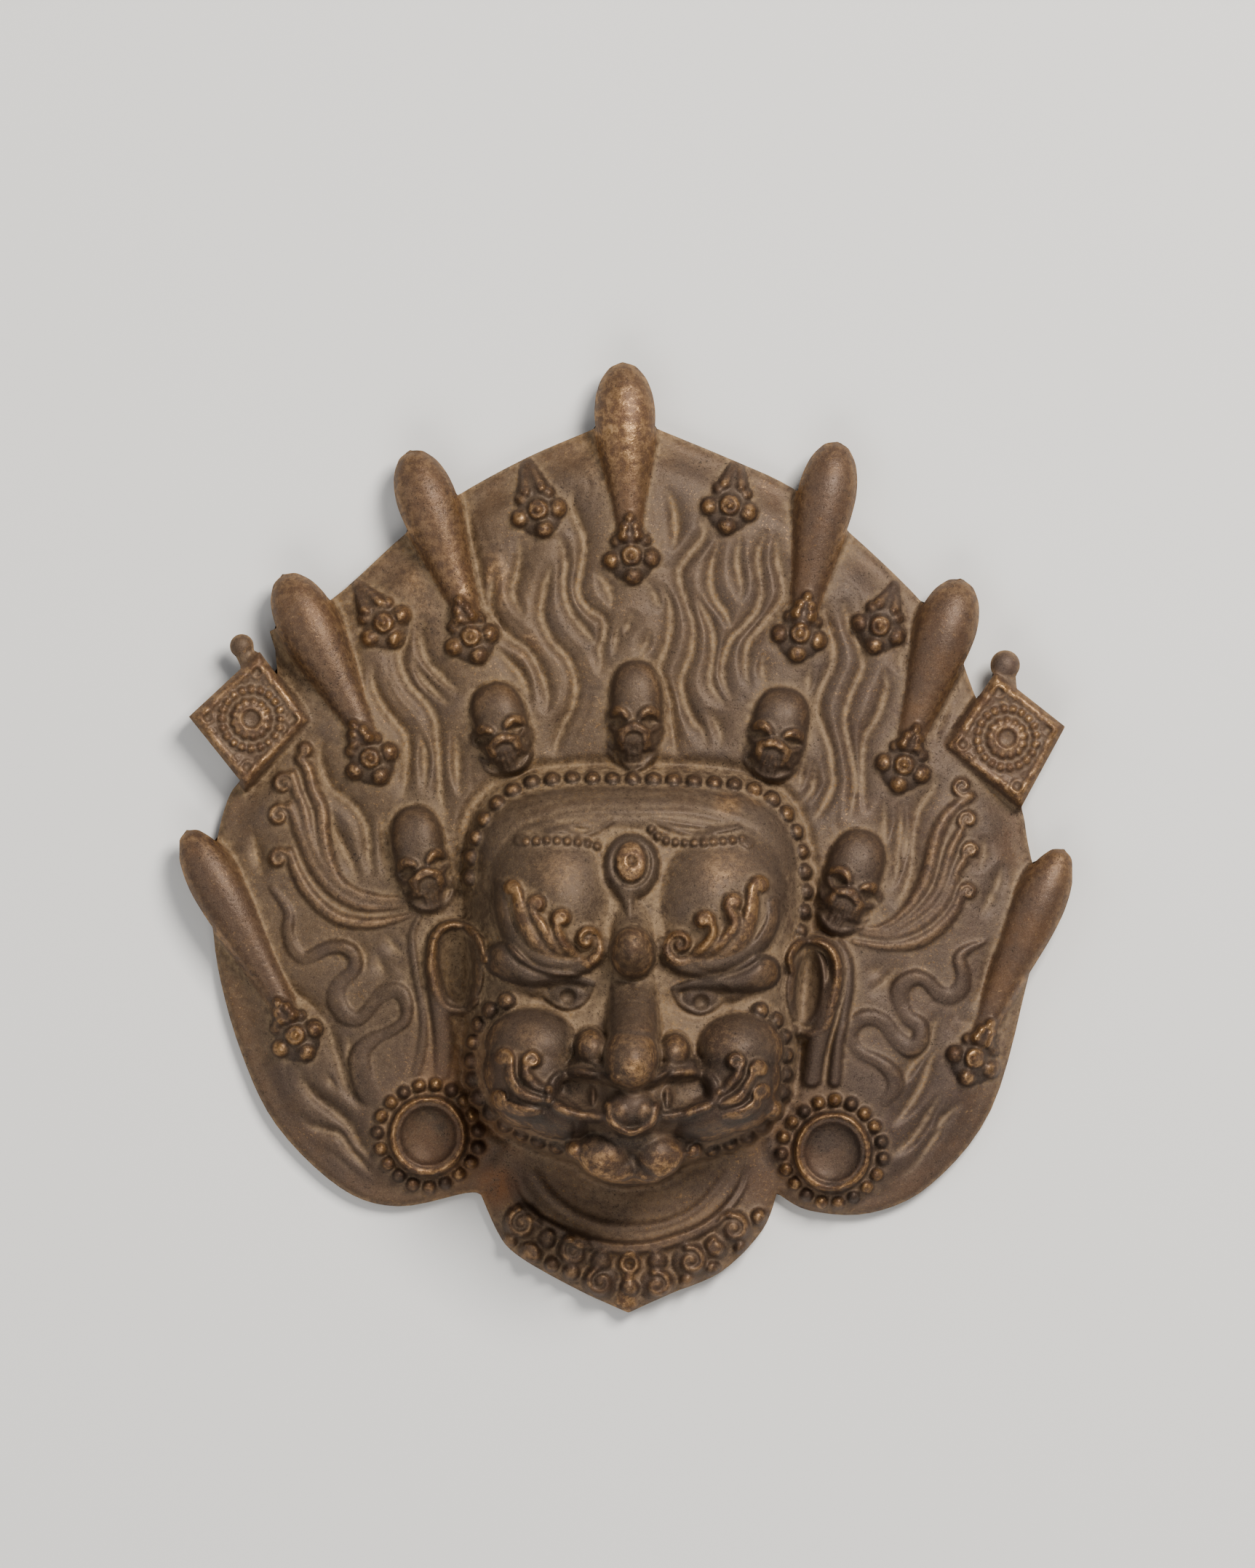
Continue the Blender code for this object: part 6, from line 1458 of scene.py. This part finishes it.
def patina(f, whole, depth, head):
    """Dust, dark, worn and rust over the grid, from the shape, with painted shade towards the bottom in the
    dark.
    """
    valid = (f.z > LEAST) & (whole > -0.3)
    x, y = f.xs[None, :], f.ys[:, None]
    pit = box_blur(f.z, valid, PIT_REACH / PITCH) - f.z
    basin = box_blur(f.z, valid, BASIN_REACH / PITCH) - f.z
    on_head = step_up(head, 0.0, 3.0)
    dust = 0.55 * f.dust + 1.1 * np.clip(pit, 0, 0.6) + (0.28 + 0.16 * on_head) * np.clip(basin, 0, 1.6)
    neck = spot(x, y, (FACE_X, -80), 25, 7.5)
    valley = spot(x, y, (FACE_X, -14), 5, 9)
    dust = np.clip(dust + 0.18 + 0.08 * on_head + 0.4 * neck + 0.45 * valley, 0, 1)
    margin = (1 - step_up(depth, 2.0, 9.0)) * (depth > 0)
    bare = np.clip(np.maximum(f.bare, 0.75 * margin * (1 - 1.2 * dust)), 0, 1)
    dust = dust * (1 - 0.55 * bare)
    height = step_up(f.z, 6, 30)
    low_part = step_up(-y, 20, 70)
    # Less dust towards the bottom, as part of the same painted shade, and less on dark features
    dust = dust * (1 - 0.25 * low_part) * (1 - 0.75 * f.dark)
    crest = np.clip(-pit * 1.6, 0, 1)
    worn = np.clip(0.45 * f.worn + 1.1 * f.worn * crest + 0.4 * crest * step_up(-basin, 0.3, 2.5), 0, 1)
    upper_left = spot(x, y, (-45, 52), 22, 26)
    top_club = spot(x, y, (-1, 84), 8, 9)
    rim = np.exp(-np.clip(whole, 0, None) / 0.7)
    for at, reach, amount in WORN_AT:
        worn = np.maximum(worn, amount * spot(x, y, at, reach, reach) * step_up(-basin, -0.6, 0.3))
    worn = np.clip(worn + 0.2 * upper_left * (1 - 0.6 * dust) + 0.55 * top_club + 0.4 * rim, 0, 1)
    # Dark grows with height, and towards the bottom as painted shade, except on the neck dish
    dark = np.clip(f.dark * (0.75 + 0.25 * low_part) + (0.15 * height + 0.15 * low_part) * (1 - neck), 0, 1)
    rust = np.zeros(f.z.shape)
    for at, reach, amount in RUST_AT:
        rust = np.maximum(rust,
                          amount * spot(x, y, at, reach, reach) * (0.4 + 0.6 * np.clip(dust * 1.6, 0, 1)))
    plum = 0.2 + 0.6 * step_up(x, -40, 75) + 0.35 * low_part
    plum = np.clip(plum + 0.25 * (whole > depth + 0.5) * (y < 95), 0, 1)
    return {"dust": dust, "dark": dark, "worn": worn, "rust": rust, "plum": plum, "bare": bare}


# Putting the mask together


def build_mask():
    xs, ys = grid(PITCH)
    f, whole, depth, head = build_front(xs, ys)
    looks = patina(f, whole, depth, head)
    valid = f.z > LEAST
    safe = np.where(valid, f.z, box_blur(f.z, valid, 2))
    gy, gx = slope(safe, valid, 0), slope(safe, valid, 1)
    length = np.sqrt(gx**2 + gy**2 + 1)
    normal = (-gx / length, -gy / length, 1 / length)
    material = bronze()
    left, middle, right = np.searchsorted(xs, TILE_X).tolist()
    neck, crown = np.searchsorted(ys, TILE_Y).tolist()
    top, side = len(ys) - 1, len(xs) - 1
    tiles = {"mask_hair_left": ((crown, top), (0, middle)),
             "mask_hair_right": ((crown, top), (middle, side)), "mask_side_left": ((0, crown), (0, left)),
             "mask_side_right": ((0, crown), (right, side)), "mask_face": ((neck, crown), (left, right)),
             "mask_collar": ((0, neck), (left, right))}
    rims = []
    for name, (rows, columns) in tiles.items():
        places, quads, polygons, rim = march(whole, rows, columns)
        x = xs[0] + places[:, 1] * PITCH
        y = ys[0] + places[:, 0] * PITCH
        z = read(safe, places)
        attributes = {key: read(values, places) for key, values in looks.items()}
        normals = np.column_stack([read(n, places) for n in normal])
        make_mesh(name, to_world(x, y, z), quads, polygons, material, attributes, normals)
        rims += [((x[a], y[a], z[a]), (x[b], y[b], z[b])) for a, b in rim]
    build_back(rims, material)


def build_back(rims, material):
    """The under side on a coarser grid, and a wall up to the front all round the rim."""
    xs, ys = grid(BACK_PITCH)
    x, y = xs[None, :], ys[:, None]
    whole = silhouette(x, y, inside_depth(x, y, OUTLINE))
    places, quads, polygons, _ = march(whole, (0, len(ys) - 1), (0, len(xs) - 1))
    x = xs[0] + places[:, 1] * BACK_PITCH
    y = ys[0] + places[:, 0] * BACK_PITCH
    under = to_world(x, y, under_height(x, y))
    polygons = [p[::-1] for p in polygons]
    ends = np.array(rims).reshape(-1, 3)
    low = np.minimum(under_height(ends[:, 0], ends[:, 1]), ends[:, 2] - 0.3)
    keys = np.round(ends[:, :2] * 2000).astype(np.int64)
    _, first, index = np.unique(keys, axis=0, return_index=True, return_inverse=True)
    top = to_world(*ends[first].T)
    bottom = to_world(*ends[first, :2].T, low[first])
    a, b = index.reshape(-1, 2).T
    keep = a != b
    a, b = a[keep] + len(under), b[keep] + len(under)
    walls = np.stack([b, a, a + len(first), b + len(first)], axis=1)
    points = np.concatenate([under, top, bottom])
    attributes = {key: np.full(len(points), amount) for key, amount in BACK_LOOKS.items()}
    make_mesh("mask_back", points, np.concatenate([quads[:, ::-1], walls]), polygons, material, attributes)


def studio():
    """A pale floor, three soft lamps and an even sky."""
    bpy.ops.mesh.primitive_plane_add(size=FLOOR_SIZE, location=(0, 0, FLOOR_LEVEL))
    floor = bpy.context.object
    floor.name = "floor"
    material = bpy.data.materials.new("pale_floor")
    material.use_nodes = True
    shader = material.node_tree.nodes["Principled BSDF"]
    shader.inputs["Base Color"].default_value = FLOOR_COLOUR
    shader.inputs["Roughness"].default_value = 0.9
    floor.data.materials.append(material)
    for name, (at, size, watts, colour) in LAMPS.items():
        data = bpy.data.lights.new(name, "AREA")
        data.shape = "RECTANGLE"
        data.size, data.size_y = size
        data.energy = watts
        data.color = colour
        made = bpy.data.objects.new(name, data)
        made.location = at
        made.rotation_euler = (-Vector(at)).to_track_quat("-Z", "Y").to_euler()
        bpy.context.scene.collection.objects.link(made)
    world = bpy.data.worlds.new("studio")
    bpy.context.scene.world = world
    world.use_nodes = True
    background = world.node_tree.nodes["Background"]
    background.inputs["Color"].default_value = SKY
    background.inputs["Strength"].default_value = SKY_STRENGTH
    bpy.context.scene.view_settings.view_transform = "AgX"
    bpy.context.scene.view_settings.look = "AgX - Medium High Contrast"


def camera():
    """The camera looks straight down on the mask, from far enough that the near parts hardly spread."""
    data = bpy.data.cameras.new("camera")
    data.sensor_width = SENSOR
    data.lens = SENSOR * CAMERA_HIGH / (PHOTO[1] * PIXEL * MM)
    data.clip_start = 0.01
    data.clip_end = 20.0
    made = bpy.data.objects.new("camera", data)
    across = (PHOTO[0] / 2 - ZERO_AT[0]) * PIXEL * MM - SHIFT[0] * MM
    up = (ZERO_AT[1] - PHOTO[1] / 2) * PIXEL * MM
    made.location = (across, up, CAMERA_HIGH)
    bpy.context.scene.collection.objects.link(made)
    bpy.context.scene.camera = made


build_mask()
camera()
studio()
